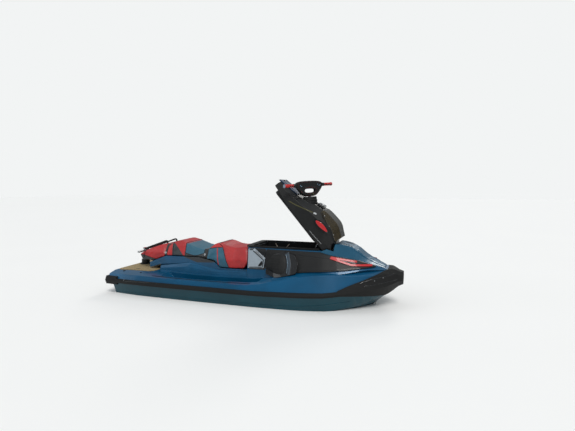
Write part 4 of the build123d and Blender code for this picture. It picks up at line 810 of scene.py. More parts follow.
seatTeal = {"colour": "#255d73", "deep": "#1d4f64"}
seatDark = {"colour": "#34373a", "deep": "#2a2d30"}

materials = {}
for makeMaterial, looks in ((paintMaterial, paintLooks), (mouldedMaterial, mouldedLooks),
                            (metalMaterial, metalLooks), (matMaterial, matLooks), (webMaterial, webLooks)):
    for name, look in looks.items():
        materials[name] = makeMaterial(name, look)
materials["smoked"] = smokedMaterial("smoked")
skirtLook = {
    **seatDark,
    "regions": [
        {"lines": [((-1.051, 0.364), (-1.300, 0.306)), ((-0.300, 0.404), (-1.300, 0.352))],
         **deckBlue},
        {"lines": [((-0.400, 0.302), (-0.700, 0.398))], **deckBlue},
    ],
}
materials["seat_grey"] = coverMaterial("seat_grey", skirtLook)
print("materials made")


# Smooth look of the solids: a modifier welds each solid's triangles, then shades across flat edges only.

def smoothingTree(name, angle):
    # Welds a solid's triangles and keeps an edge sharp where its faces meet at more than the angle.
    tree = bpy.data.node_groups.new(name, "GeometryNodeTree")
    tree.interface.new_socket("Geometry", in_out="INPUT", socket_type="NodeSocketGeometry")
    tree.interface.new_socket("Geometry", in_out="OUTPUT", socket_type="NodeSocketGeometry")
    start, end = tree.nodes.new("NodeGroupInput"), tree.nodes.new("NodeGroupOutput")
    strip = tree.nodes.new("GeometryNodeRemoveAttribute")
    strip.inputs["Name"].default_value = "custom_normal"
    weld = tree.nodes.new("GeometryNodeMergeByDistance")
    weld.inputs["Distance"].default_value = 0.00005
    faces = tree.nodes.new("GeometryNodeSetShadeSmooth")
    faces.domain = "FACE"
    edges = tree.nodes.new("GeometryNodeSetShadeSmooth")
    edges.domain = "EDGE"
    edges.inputs["Shade Smooth"].default_value = False
    bend = tree.nodes.new("GeometryNodeInputMeshEdgeAngle")
    sharp = tree.nodes.new("FunctionNodeCompare")
    sharp.operation = "GREATER_THAN"
    sharp.inputs[1].default_value = math.radians(angle)
    tree.links.new(start.outputs[0], strip.inputs["Geometry"])
    tree.links.new(strip.outputs["Geometry"], weld.inputs["Geometry"])
    tree.links.new(weld.outputs["Geometry"], faces.inputs["Geometry"])
    tree.links.new(faces.outputs["Geometry"], edges.inputs["Geometry"])
    tree.links.new(bend.outputs["Unsigned Angle"], sharp.inputs[0])
    tree.links.new(sharp.outputs[0], edges.inputs["Selection"])
    tree.links.new(edges.outputs["Geometry"], end.inputs[0])
    return tree


smoothBodies = smoothingTree("smoothFlatEdges", 24.0)
for node in nodes.values():
    smoother = node.modifiers.new("smooth", "NODES")
    smoother.node_group = smoothBodies
print("solids smoothed")


# Which material each solid carries

finishes = {
    "seat_grey": ["seat_base"],
    "hull_paint": ["hull"],
    "deck_paint": ["deck"],
    "hood_paint": ["hood"],
    "black_rubber": ["guard_band", "bow_bumper", "stern_bumper", "bin_rim", "column_base"],
    "black_plastic": ["side_panels", "sponsons", "bin_liner", "grab_rail", "pylon_base", "lid_liner",
                      "glove_box", "levers", "strut_tube"],
    "black_gloss": ["knee_fairings", "mirror_pods", "gauge"],
    "lid_paint": ["lid_shell"],
    "pad_black": ["bar_pad"],
    "door_blue": ["glove_door"],
    "knee_ridge": ["knee_ridges"],
    "panel_metal": ["console_sides"],
    "red_paint": ["check_trims"],
    "mat_black": ["footwell_mats"],
    "mat_tan": ["platform_mat"],
    "strap_black": ["seat_straps"],
    "loop_orange": ["lid_loops"],
    "grip_red": ["grips"],
    "smoked": ["wind_deflector"],
    "engine_grey": ["engine"],
    "aluminium": ["intake_grate", "pump_housing", "ride_plate", "pylon_post", "steering_nozzle",
                  "reverse_bucket"],
    "steel": ["lid_hinge_base", "lid_hinge", "step_brackets", "tow_eyes", "bow_eye", "strut_foot",
              "shaft_bearing", "handlebar", "boarding_step", "impeller"],
    "chrome": ["strut_rod"],
}
for finish, names in finishes.items():
    for name in names:
        nodes[name].data.materials.clear()
        nodes[name].data.materials.append(materials[finish])
print("solids finished")


# Cushions

def weldedCopy(node, name):
    # The solid's mesh as a new closed object, its doubles merged and its normals turned outwards.
    mesh = nodes[node].data.copy()
    work = bmesh.new()
    work.from_mesh(mesh)
    bmesh.ops.remove_doubles(work, verts=work.verts, dist=0.00005)
    bmesh.ops.recalc_face_normals(work, faces=work.faces)
    work.to_mesh(mesh)
    work.free()
    mesh.name = name
    for label in [a.name for a in mesh.attributes if a.name == "custom_normal"]:
        mesh.attributes.remove(mesh.attributes[label])
    piece = bpy.data.objects.new(name, mesh)
    bpy.context.scene.collection.objects.link(piece)
    return piece


def readVectors(mesh, what):
    # Places (co) or normals (normal) of a mesh's points.
    flat = np.empty(len(mesh.vertices) * 3, np.float32)
    mesh.vertices.foreach_get(what, flat)
    return flat.reshape(-1, 3).astype(float)


def writePoints(mesh, points):
    # New places for a mesh's points.
    mesh.vertices.foreach_set("co", np.asarray(points, np.float32).ravel())
    mesh.update()


def bakeModifiers(piece):
    # The shape after its modifiers becomes the mesh.
    graph = bpy.context.evaluated_depsgraph_get()
    done = bpy.data.meshes.new_from_object(piece.evaluated_get(graph))
    piece.modifiers.clear()
    old = piece.data
    piece.data = done
    bpy.data.meshes.remove(old)


clothLook = {"pressure": 4.0, "stiffness": 25.0, "frames": 20, "cap": 0.007, "shrink": 0.004}


def cushion(node, name, look):
    # Remeshed copy of the solid, rounded. Its top is moved by the crown table (x, rise) in proportion to the
    # height above the foot, then it is shrunk and blown up as cloth; no point ends more than the cap away.
    piece = weldedCopy(node, name)
    remesh = piece.modifiers.new("remesh", "REMESH")
    remesh.mode = "VOXEL"
    remesh.voxel_size = look["voxel"]
    bakeModifiers(piece)
    smooth = piece.modifiers.new("relax", "SMOOTH")
    smooth.factor, smooth.iterations = 0.5, look["relax"]
    bakeModifiers(piece)
    start = readVectors(piece.data, "co")
    xs, lifts = np.array(look["crown"]).T
    high = np.clip((start[:, 2] - look["foot"]) / (look["head"] - look["foot"]), 0, 1)
    start[:, 2] += np.interp(start[:, 0], xs[::-1], lifts[::-1]) * high
    shrunk = start - readVectors(piece.data, "normal") * clothLook["shrink"]
    writePoints(piece.data, shrunk)
    cloth = piece.modifiers.new("cloth", "CLOTH")
    cloth.settings.use_pressure = True
    cloth.settings.uniform_pressure_force = clothLook["pressure"]
    cloth.settings.effector_weights.gravity = 0.0
    cloth.settings.tension_stiffness = clothLook["stiffness"]
    cloth.settings.compression_stiffness = clothLook["stiffness"]
    cloth.point_cache.frame_start, cloth.point_cache.frame_end = 1, clothLook["frames"]
    for step in range(clothLook["frames"]):
        bpy.context.scene.frame_set(step + 1)
    bakeModifiers(piece)
    bpy.context.scene.frame_set(1)
    moved = readVectors(piece.data, "co") - shrunk
    reach = np.linalg.norm(moved, axis=1, keepdims=True)
    moved *= np.minimum(1, clothLook["cap"] / np.maximum(reach, 1e-9))
    writePoints(piece.data, shrunk + moved)
    division = piece.modifiers.new("division", "SUBSURF")
    division.levels = division.render_levels = 1
    bakeModifiers(piece)
    piece.data.polygons.foreach_set("use_smooth", np.full(len(piece.data.polygons), True))
    piece.data.materials.clear()
    piece.data.materials.append(coverMaterial(name + "_cover", look))
    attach(piece, "hull_body")
    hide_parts(node)
    return piece


# Cushions' looks: a region is what lies left of each of its side-view lines, on the way from the first end
# to the second, and a later region covers an earlier one.
driverLook = {
    "foot": 0.35, "head": 0.59,
    "crown": [(-0.02, -0.002), (-0.10, 0.003), (-0.20, -0.005), (-0.28, 0.003), (-0.36, 0.009),
              (-0.40, 0.005), (-0.435, 0.013), (-0.473, 0.016), (-0.51, 0.011), (-0.55, 0.0)],
    "voxel": 0.011, "relax": 9, **seatRed,
    "regions": [
        {"lines": [((-0.219, 0.305), (-0.318, 0.520)), ((-0.300, 0.574), (-0.560, 0.558))], "beyond": 0.150,
         **seatTeal},
        {"lines": [((-0.353, 0.300), (-0.405, 0.560)), ((-0.419, 0.560), (-0.367, 0.300)),
                   ((-0.300, 0.570), (-0.560, 0.554))], "beyond": 0.150, **seatRed},
    ],
}
passengerLook = {
    "foot": 0.45, "head": 0.60,
    "crown": [(-0.57, 0.0), (-0.65, -0.001), (-0.71, -0.005), (-0.80, 0.001), (-0.88, 0.007),
              (-0.95, 0.003), (-0.99, 0.011), (-1.03, 0.014), (-1.07, 0.009), (-1.11, -0.003)],
    "voxel": 0.011, "relax": 9, **seatDark,
    "regions": [
        {"lines": [((-0.855, 0.640), (-0.838, 0.470)), ((-0.845, 0.486), (-0.685, 0.462)),
                   ((-0.690, 0.462), (-0.500, 0.520))], **seatTeal},
        {"lines": [((-0.838, 0.470), (-0.855, 0.640)), ((-0.992, 0.585), (-0.855, 0.452))], **seatRed},
        {"lines": [((-1.200, 0.586), (-0.600, 0.604))], **seatRed},
        {"lines": [((-1.012, 0.420), (-1.040, 0.640))], **seatRed},
    ],
}
rearLook = {
    "foot": 0.38, "head": 0.50,
    "crown": [(-1.13, -0.003), (-1.19, 0.003), (-1.28, 0.009), (-1.38, 0.010), (-1.44, 0.007),
              (-1.50, 0.001)],
    "voxel": 0.010, "relax": 7, **seatDark,
    "regions": [
        {"lines": [((-1.500, 0.436), (-1.205, 0.372)), ((-1.215, 0.372), (-1.100, 0.410))], **seatRed},
    ],
}
cushion("driver_seat", "driver_cushion", driverLook)
cushion("passenger_seat", "passenger_cushion", passengerLook)
cushion("rear_seat_pad", "rear_cushion", rearLook)
print("cushions made")


# Trims laid on the solids

seenFrom = {  # how a look is seen: the sides it is cast from, each with the factors of its plan
    "sides": (("starboard", (1, 1)), ("port", (1, 1))),
    "lidSides": (("starboard", (1, 1)), ("port", (1, 1))),
    "inside": (("insidePort", (1, 1)), ("insideStarboard", (1, 1))),
    "above": (("top", (1, -1)), ("top", (1, 1))),
    "middle": (("top", (1, 1)),),
    "lidAbove": (("lidTop", (1, -1)), ("lidTop", (1, 1))),
    "lidMiddle": (("lidTop", (1, 1)),),
    "below": (("below", (1, -1)), ("below", (1, 1))),
    "astern": (("astern", (1, 1)),),
    "asternPair": (("astern", (-1, 1)), ("astern", (1, 1))),
}
sideSigns = {"starboard": -1, "port": 1}
skins = {}


def skinOf(name):
    # Triangles of a solid or a piece, kept for the next call.
    if name not in skins:
        skins[name] = trianglesOf(bpy.data.objects[name].data)
    return skins[name]


def seenPlans(plan, seen):
    # The plan as each view takes it: mirrored about the centre line, or moved to the opened lid.
    plan = lidSide(plan) if seen == "lidSides" else np.asarray(plan, float)
    return [(side, plan * factors) for side, factors in seenFrom[seen]]


def stripsOf(look):
    # Mouldings of one look: every line of it, in every view.
    return [stripOn(skinOf(look["on"]), plan, look["width"], look["height"], side, look["points"])
            for line in look["lines"] for side, plan in seenPlans(line, look["seen"])]


def padsOf(look):
    # Raised panels of one look: every outline of it, its corners cut, in every view.
    return [padOn(skinOf(look["on"]), roundedOutline(plan, look["points"], look["rounding"]), look["height"],
                  side, look["rings"], crown=look.get("crown", 0.0))
            for outline in look["outlines"] for side, plan in seenPlans(outline, look["seen"])]


def studsOf(look):
    # Round heads of one look, square on the surface at every point, in every view.
    head, found = stud(look["radius"], look["height"], look.get("edges", 12)), []
    for side, plan in seenPlans(look["at"], look["seen"]):
        spots, normals = layOn(skinOf(look["on"]), plan, side)
        ahead = np.tile(look.get("ahead", (1.0, 0.0, 0.0)), (len(spots), 1))
        found.append(repeated(head, spots, ahead, normals))
    return found


def dress(name, finish, shapes, body="hull_body"):
    # One piece of several shapes.
    return makePiece(name, joined(shapes), materials[finish], body)


def boxOutline(x, z, halfX, halfZ):
    # Corners of a rectangle round its middle.
    return [(x - halfX, z - halfZ), (x + halfX, z - halfZ), (x + halfX, z + halfZ), (x - halfX, z + halfZ)]


# Seams, piping and stitches on the cushions
seamLook = {"points": 110, "piping": 0.0032, "pipeRise": 0.0006, "stitchGap": 0.009, "stitchRise": 0.0004,
            "pitch": 0.0065, "endGap": 0.01}
seams = [  # cushion, side-view line of the seam, height of its centre, first and last angle
    ("driver_cushion",
     [(-0.205, 0.290), (-0.262, 0.400), (-0.318, 0.520), (-0.352, 0.585), (-0.440, 0.640)], 0.44, -28, 208),
    ("driver_cushion", [(0.004, 0.380), (-0.012, 0.560), (-0.058, 0.620)], 0.44, -10, 190),
    ("passenger_cushion", [(-0.834, 0.440), (-0.842, 0.520), (-0.850, 0.640)], 0.48, -8, 188),
    ("passenger_cushion", [(-1.004, 0.440), (-1.020, 0.560), (-1.026, 0.640)], 0.48, -8, 188),
    ("rear_cushion", [(-1.450, 0.380), (-1.440, 0.470), (-1.430, 0.540)], 0.43, -8, 188),
]
pipes, threads = [], []
for cushionName, line, centreZ, first, last in seams:
    angles = np.linspace(first, last, seamLook["points"])
    points, normals = seamRound(skinOf(cushionName), line, centreZ, angles)
    pipes.append(tube(points + normals * seamLook["pipeRise"], seamLook["piping"], 8, up=(0.3, 0.2, 1.0)))
    ahead = unit(np.gradient(points, axis=0))
    across = unit(np.cross(ahead, normals))
    run = runOf(points)
    at = np.arange(seamLook["endGap"], run[-1] - seamLook["endGap"], seamLook["pitch"])
    for shift in (-seamLook["stitchGap"], seamLook["stitchGap"]):
        row = points + across * shift + normals * seamLook["stitchRise"]
        spots, ways, ups = (readAlong(at, run, values) for values in (row, ahead, normals))
        threads.append(repeated(stitchShape(), spots, ways, ups))
dress("seat_piping", "black_rubber", pipes)
dress("seat_stitches", "grey_blue", threads)
print("seams sewn")

# Panel seams along the cushions' sides
sideSeamLook = {"seen": "sides", "width": 0.006, "height": 0.0026, "points": 48}
sideSeams = {
    "driver_cushion": [[(-0.33, 0.352), (-0.22, 0.330), (-0.08, 0.345), (-0.02, 0.372)],
                       [(-0.352, 0.572), (-0.43, 0.568), (-0.52, 0.552)]],
    "passenger_cushion": [[(-0.836, 0.488), (-0.76, 0.470), (-0.685, 0.464), (-0.590, 0.492)]],
    "rear_cushion": [[(-1.480, 0.436), (-1.360, 0.408), (-1.220, 0.378)]],
}
sidePipes = []
for cushionName, lines in sideSeams.items():
    sidePipes += stripsOf({**sideSeamLook, "on": cushionName, "lines": lines})
dress("seat_side_piping", "black_rubber", sidePipes)

# Straps: a raised web over each joint, a hook plate at each side and two buckles on top
strapJoints = ((-0.562, 0.462, 0.538), (-1.120, 0.452, 0.560))  # x, lowest and highest z of the web
strapWebLook = {"on": "seat_straps", "seen": "sides", "width": 0.0225, "height": 0.0018, "points": 24,
           "lines": [[(x, low), (x, (low + high) / 2), (x, high)] for x, low, high in strapJoints]}
hookLook = {"on": "seat_straps", "seen": "sides", "height": 0.005, "points": 28, "rounding": 2, "rings": 3,
            "outlines": [boxOutline(x, low + 0.020, 0.0125, 0.014) for x, low, _ in strapJoints]}
buckleLook = {**hookLook, "seen": "above",
              "outlines": [boxOutline(x, 0.055, 0.0128, 0.022) for x, _, _ in strapJoints]}
dress("strap_webs", "strap_black", stripsOf(strapWebLook))
dress("strap_buckles", "steel", padsOf(hookLook) + padsOf(buckleLook))
print("straps laid")

# Guard band: two lips, screws along it and a small cleat on each side. Ahead of x -1.43 guardLine runs
# above the band's top edge and its rays miss, so the upper lip and the cleats don't show, the lower lip
# ends at x -0.91 and the screws all lie at x -1.45. The line has to follow the band's own top edge.
guardLine = [(-1.50, 0.186), (-1.0, 0.206), (-0.6, 0.216), (0.0, 0.226), (0.5, 0.238), (1.0, 0.256),
             (1.25, 0.268)]
guardX, guardZ = np.array(guardLine).T
lipOffsets = (-0.017, 0.015)
lipLook = {"on": "guard_band", "seen": "sides", "width": 0.006, "height": 0.0022, "points": 150,
           "lines": [[(x, z + offset) for x, z in guardLine] for offset in lipOffsets]}
screwX = np.arange(-1.45, 1.2, 0.19)
guardScrewLook = {"on": "guard_band", "seen": "sides", "radius": 0.0055, "height": 0.0028,
                  "at": np.stack([screwX, np.interp(screwX, guardX, guardZ)], axis=-1)}
cleatLook = {"at": (-0.33, 0.222), "radius": 0.0045, "legRadius": 0.005, "legs": (-0.014, 0.014),
             "legSink": -0.004, "legRise": 0.016,
             "horn": [(-0.045, 0.013, 0.004), (-0.03, 0.018, 0.0), (0.0, 0.016, 0.0), (0.03, 0.018, 0.0),
                      (0.045, 0.013, 0.004)]}
cleats = []
for side, sign in sideSigns.items():
    base = layOn(skinOf("guard_band"), [cleatLook["at"]], side)[0][0]
    horn = base + np.array(cleatLook["horn"]) * (1, sign, 1)
    cleats.append(tube(smoothPath(horn, 24), cleatLook["radius"], 10))
    for x in cleatLook["legs"]:
        leg = np.array([(x, cleatLook["legSink"] * sign, 0.0), (x, cleatLook["legRise"] * sign, 0.0)])
        cleats.append(tube(base + leg, cleatLook["legRadius"], 10))
dress("guard_lips", "black_gloss", stripsOf(lipLook))
dress("guard_screws", "steel", studsOf(guardScrewLook))
dress("guard_cleats", "black_plastic", cleats)
print("guard band trimmed")


# Hood: two side creases and two vents with slats
hoodCreaseLook = {"on": "hood", "seen": "above", "width": 0.012, "height": 0.0035, "points": 80,
                  "lines": [[(1.03, 0.150), (1.20, 0.142), (1.40, 0.108), (1.56, 0.060)]]}
ventLook = {"on": "hood", "seen": "above", "width": 0.010, "height": 0.0045, "points": 16,
            "lines": [[(x, 0.062), (x + 0.015, 0.112)] for x in 1.075 + 0.026 * np.arange(4)]}
dress("hood_creases", "hood_paint", stripsOf(hoodCreaseLook))
dress("hood_vents", "black_plastic", stripsOf(ventLook))

# Headlight recess: a dark glossy field inside each check mark, with a lens strip; two lines on the panel
recessLook = {"on": "side_panels", "seen": "sides", "height": 0.0025, "points": 48, "rounding": 2,
              "rings": 7, "outlines": [[(1.015, 0.536), (1.230, 0.500), (1.370, 0.482), (1.205, 0.492)]]}
lensLook = {"on": "side_panels", "seen": "sides", "width": 0.008, "height": 0.0045, "points": 40,
            "lines": [[(1.10, 0.5155), (1.20, 0.502), (1.30, 0.4905)]]}
upperLineLook = {"on": "side_panels", "seen": "sides", "width": 0.005, "height": 0.0018, "points": 60,
                 "lines": [[(0.62, 0.560), (0.80, 0.549), (0.985, 0.536)]]}
lowerLineLook = {"on": "side_panels", "seen": "sides", "width": 0.006, "height": 0.0020, "points": 90,
                 "lines": [[(0.62, 0.398), (0.90, 0.420), (1.20, 0.442), (1.40, 0.456)]]}
dress("light_recesses", "black_gloss", padsOf(recessLook))
dress("light_lenses", "lens_dark", stripsOf(lensLook))
dress("panel_lines", "black_gloss", stripsOf(upperLineLook) + stripsOf(lowerLineLook))

# Knee fairings: grip pad with ribs, and a grey-blue strip beside the ridge that is a painted highlight
kneePadLook = {"on": "knee_fairings", "seen": "sides", "height": 0.003, "crown": 0.016, "points": 96,
               "rounding": 3, "rings": 14,
               "outlines": [[(0.300, 0.520), (0.262, 0.460), (0.268, 0.395), (0.330, 0.372), (0.420, 0.356),
                             (0.500, 0.362), (0.520, 0.440), (0.505, 0.520), (0.470, 0.560), (0.380, 0.556)]]}
kneeRibLook = {"on": "knee_pads", "seen": "sides", "width": 0.008, "height": 0.0020, "points": 24,
               "lines": [[(0.345 - 0.004 * k, z), (0.400, z + 0.004), (0.452, z)]
                         for k, z in enumerate(0.410 + 0.024 * np.arange(5))]}
# Grey-blue strip beside the ridge: painted highlight on the black fairing
kneeHighlightLook = {"on": "knee_fairings", "seen": "sides", "width": 0.0035, "height": 0.0022, "points": 50,
                "lines": [[(0.500, 0.566), (0.534, 0.470), (0.540, 0.372)]]}
kneePads = padsOf(kneePadLook)
skins["knee_pads"] = trianglesOfShape(joined(kneePads))
dress("knee_pads", "pad_black", kneePads)
dress("knee_ribs", "black_rubber", stripsOf(kneeRibLook))
dress("knee_highlight_strips", "grey_blue", stripsOf(kneeHighlightLook))

# Deck: moulded crease beside the footwell, a rubber edge along each well, a tie-down plug and a filler cap
deckCreaseLook = {"on": "deck", "seen": "sides", "width": 0.007, "height": 0.0025, "points": 100,
                  "lines": [[(-0.95, 0.338), (-0.68, 0.352), (-0.42, 0.290), (-0.10, 0.300)]]}
wellEdgeLook = {"on": "deck", "seen": "above", "width": 0.010, "height": 0.0035, "points": 110,
                "lines": [[(-1.10, 0.540), (-0.70, 0.543), (-0.20, 0.543), (0.15, 0.541)]]}
plugLook = {"on": "deck", "seen": "above", "at": [(-1.565, 0.45)], "radius": 0.016, "height": 0.004,
            "edges": 24}
capLook = {**plugLook, "at": [(-1.30, 0.48)], "radius": 0.011}
dress("deck_creases", "deck_paint", stripsOf(deckCreaseLook))
dress("well_edges", "black_rubber", stripsOf(wellEdgeLook))
dress("deck_plugs", "black_plastic", studsOf(plugLook) + studsOf(capLook))

# Bow bumper: two raised lips and screws between them
bowLipLook = {"on": "bow_bumper", "seen": "sides", "width": 0.010, "height": 0.003, "points": 60,
              "lines": [[(1.30, 0.300), (1.45, 0.345), (1.62, 0.378)],
                        [(1.34, 0.268), (1.50, 0.296), (1.66, 0.322)]]}
bowScrewLook = {"on": "bow_bumper", "seen": "sides", "radius": 0.006, "height": 0.0028,
                "at": [(1.36, 0.320), (1.44, 0.322), (1.52, 0.350)]}
dress("bow_lips", "black_gloss", stripsOf(bowLipLook))
dress("bow_screws", "steel", studsOf(bowScrewLook))

# Hull: a spray strake along each side, bolts on the sponsons
strakeLook = {"on": "hull", "seen": "sides", "width": 0.009, "height": 0.0035, "points": 140,
              "lines": [[(-1.55, 0.030), (-0.8, 0.030), (0.0, 0.034), (0.7, 0.052), (1.2, 0.105)]]}
sponsonLow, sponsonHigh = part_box("sponsons")
sponsonX = np.linspace(sponsonLow[0] + 0.06, sponsonHigh[0] - 0.08, 6)
sponsonBoltLook = {"on": "sponsons", "seen": "sides", "radius": 0.0065, "height": 0.004,
                   "at": [(x, (sponsonLow[2] + sponsonHigh[2]) / 2) for x in sponsonX]}
dress("hull_strakes", "hull_paint", stripsOf(strakeLook))
dress("sponson_bolts", "steel", studsOf(sponsonBoltLook))
print("hull and deck trimmed")


# Lid: red faces on the mirror pods, an aluminium strip along the edge that is a painted highlight, an olive
# band along a crease that is a painted reflection, and a clip on each side
podFaceLook = {"on": "mirror_pods", "seen": "lidSides", "height": 0.004, "crown": 0.004, "points": 72,
               "rounding": 3, "rings": 9,
               "outlines": [[(0.616, 0.774), (0.642, 0.799), (0.716, 0.816), (0.788, 0.807), (0.800, 0.792),
                             (0.741, 0.772), (0.665, 0.761)]]}
# Olive band along the lid's crease: painted reflection, a soft highlight on the black lid
lidSheenLook = {"on": "lid_shell", "seen": "lidSides", "width": 0.011, "height": 0.0014, "points": 80,
               "lines": [[(0.255, 0.664), (0.34, 0.700), (0.44, 0.752), (0.535, 0.800)]]}
# Aluminium strip along the lid edge: painted highlight of the lit edge
lidEdgeHighlightLook = {"on": "lid_shell", "seen": "lidSides", "width": 0.004, "height": 0.0022, "points": 60,
               "lines": [[(0.66, 0.652), (0.76, 0.655), (0.86, 0.662)]]}
clipLook = {"on": "lid_shell", "seen": "lidSides", "height": 0.006, "points": 28, "rounding": 2, "rings": 3,
            "outlines": [[(0.540, 0.792), (0.575, 0.806), (0.570, 0.820), (0.535, 0.806)]]}
dress("pod_faces", "red_paint", padsOf(podFaceLook), "lid")
dress("lid_edge_highlight", "aluminium", stripsOf(lidEdgeHighlightLook), "lid")
dress("lid_crease_sheen", "olive", stripsOf(lidSheenLook), "lid")
dress("lid_clips", "aluminium", padsOf(clipLook), "lid")

# Glove box door: a latch at its edge and two ridges
latchLook = {"on": "glove_door", "seen": "lidMiddle", "height": 0.005, "points": 32, "rounding": 2,
             "rings": 3, "outlines": [boxOutline(0.007, 0.0, 0.009, 0.026)]}
ridgeLook = {"on": "glove_door", "seen": "lidAbove", "width": 0.008, "height": 0.003, "points": 50,
             "lines": [[(0.015, 0.070), (0.120, 0.0784), (0.215, 0.070)]]}
dress("glove_latch", "black_plastic", padsOf(latchLook), "glove_door")
dress("glove_ridges", "door_blue", stripsOf(ridgeLook), "glove_door")

# Gauge and dashboard: glass, three rings, two keys on each side and a line along each shoulder
glassLook = {"on": "gauge", "seen": "lidMiddle", "height": 0.0016, "points": 48, "rounding": 3, "rings": 5,
             "outlines": [boxOutline(0.512, 0.0, 0.034, 0.056)]}
dialLook = {"x": 0.512, "dials": ((-0.030, 0.017), (0.030, 0.017), (0.0, 0.009)), "edges": 36,
            "low": 0.0012, "high": 0.0034, "step": 0.0022, "inner": 0.86, "floor": 0.84,
            "ahead": (1.0, 0.0, 0.1)}
keyLook = {"on": "lid_shell", "seen": "lidAbove", "at": [(0.470, 0.085), (0.470, 0.100)], "radius": 0.0058,
           "height": 0.004, "edges": 16, "ahead": (1.0, 0.0, 0.1)}
dashLineLook = {"on": "lid_shell", "seen": "lidAbove", "width": 0.008, "height": 0.003, "points": 90,
                "lines": [[(0.30, 0.118), (0.42, 0.112), (0.60, 0.108), (0.86, 0.092)]]}
dials = []
for y, radius in dialLook["dials"]:
    profile = [(dialLook["low"], radius), (dialLook["high"], radius),
               (dialLook["high"], radius * dialLook["inner"]),
               (dialLook["step"], radius * dialLook["floor"])]
    ring = turned(profile, (0, 0, 0), (0, 0, 1), dialLook["edges"])
    spot, normal = layOn(skinOf("gauge"), [(dialLook["x"], y)], "lidTop")
    dials.append(repeated(ring, spot, [dialLook["ahead"]], normal))
dress("gauge_glass", "gauge_glass", padsOf(glassLook), "lid")
dress("gauge_rings", "aluminium", dials, "lid")
dress("dash_keys", "black_rubber", studsOf(keyLook), "lid")
dress("dash_lines", "black_gloss", stripsOf(dashLineLook), "lid")

# Webbing loops under the lid: a flat band that hangs straight down, turns and comes back up
loopLook = {"anchors": ((0.660, 0.060), (0.742, -0.060)), "underside": 0.630, "drop": 0.094, "half": 0.010,
            "lean": 0.012, "width": 0.0115, "flat": 0.13}
loopBands = []
for x, y in loopLook["anchors"]:
    top = onLid([[x, y, loopLook["underside"]]])[0]
    half, lean = loopLook["half"], loopLook["lean"]
    turn = np.linspace(0, np.pi, 15)
    down = np.linspace(0, loopLook["drop"] - half, 12)
    side = np.stack([lean * (down / down[-1]) ** 2, np.full(12, -half), -down], axis=-1)
    bend = np.stack([np.full(15, lean), -half * np.cos(turn), -down[-1] - half * np.sin(turn)], axis=-1)
    line = np.concatenate([side[:-1], bend, (side * (1, -1, 1))[::-1][1:]])
    loopBands.append(bandAlong(top + line, loopLook["width"], loopLook["flat"]))
loops = makePiece("loop_webs", joined(loopBands), materials["loop_orange"], "lid")
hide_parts("lid_loops")
print("lid trimmed")

# Deflector: rubber edging along its lower edge and screws into the lid
edgingLook = {"on": "wind_deflector", "seen": "lidSides", "width": 0.007, "height": 0.0028, "points": 70,
              "lines": [[(0.590, 0.866), (0.640, 0.854), (0.740, 0.832), (0.860, 0.806)]]}
deflectorScrewLook = {"on": "wind_deflector", "seen": "lidSides", "radius": 0.0055, "height": 0.003,
                      "at": [(0.640, 0.866), (0.760, 0.840), (0.860, 0.818)]}
dress("deflector_edging", "black_rubber", stripsOf(edgingLook), "lid")
dress("deflector_screws", "steel", studsOf(deflectorScrewLook), "lid")


# Handlebar, in the frame of the turned bar: x along the boat, y along the bar, z up the column
barLook = {"centre": (0.234, 0.910), "rake": math.radians(54.4), "turn": math.radians(-29.0)}


def onColumn(points):
    # Local points of the column, leaned back by the rake, then opened with the lid.
    p = np.asarray(points, float)
    c, s = math.cos(barLook["rake"]), math.sin(barLook["rake"])
    centreX, centreZ = barLook["centre"]
    return onLid(np.stack([centreX + p[..., 0] * c - p[..., 2] * s, p[..., 1],
                           centreZ + p[..., 0] * s + p[..., 2] * c], axis=-1))


def onBar(points):
    # Local points of the bar, turned by the steering, then placed as the column's are.
    p = np.asarray(points, float)
    c, s = math.cos(barLook["turn"]), math.sin(barLook["turn"])
    return onColumn(np.stack([p[..., 0] * c - p[..., 1] * s, p[..., 0] * s + p[..., 1] * c, p[..., 2]],
                             axis=-1))


def barTurned(profile, side=1, sides=28):
    # A profile of (y, radius) turned about the bar.
    points, faces = turned([(y * side, r) for y, r in profile], (0, 0, 0), (0, 1, 0), sides)
    return onBar(points), faces


gripLook = {
    "inner": 0.249, "outer": 0.367, "radius": 0.0171, "rib": 0.0013, "ribs": 13, "ends": 0.0160,
    "ring": [(0.3775, 0.0150), (0.3775, 0.0196), (0.3790, 0.0196), (0.3790, 0.0090), (0.3775, 0.0080)],
    "bolt": [(0.3780, 0.0070), (0.3815, 0.0070), (0.3822, 0.0055)],
    "housing": [(0.2095, 0.0120), (0.2105, 0.0190), (0.2190, 0.0205), (0.2200, 0.0120)],
}
ribPart = np.linspace(0, 1, 97)
ribRadius = gripLook["radius"] + gripLook["rib"] * np.abs(np.sin(np.pi * gripLook["ribs"] * ribPart))
ribRadius[[0, -1]] = gripLook["ends"]
ribY = gripLook["inner"] + (gripLook["outer"] - gripLook["inner"]) * ribPart
dress("grip_ribs", "grip_red", [barTurned(list(zip(ribY, ribRadius)), side) for side in (1, -1)], "steering")
dress("grip_rings", "grey_blue", [barTurned(gripLook["ring"], side) for side in (1, -1)], "steering")
dress("grip_bolts", "steel", [barTurned(gripLook["bolt"], side, 6) for side in (1, -1)], "steering")
dress("switch_housings", "black_plastic", [barTurned(gripLook["housing"], side) for side in (1, -1)],
      "steering")

# Bar pad: a padded ring round its opening, with piping and stitches on both faces
padLook = {"half": 0.0225, "power": 3.2, "piping": 0.0022, "hole": (0.0, -0.065), "points": 180,
           "pipesAt": (0.80, -0.72), "stitchesAt": 0.88, "stitchRise": 0.0002}
padEdge = np.array([(0.074, -0.130), (0.116, -0.108), (0.164, -0.066), (0.208, -0.024), (0.216, 0.014),
                    (0.194, 0.036), (0.112, 0.048)])
padEdge = np.vstack([padEdge, (padEdge * (-1, 1))[::-1]])
padHole = np.array([(0.074, -0.086), (0.084, -0.065), (0.072, -0.045), (0.0, -0.042)])
padHole = np.vstack([padHole, (padHole[:3] * (-1, 1))[::-1]])


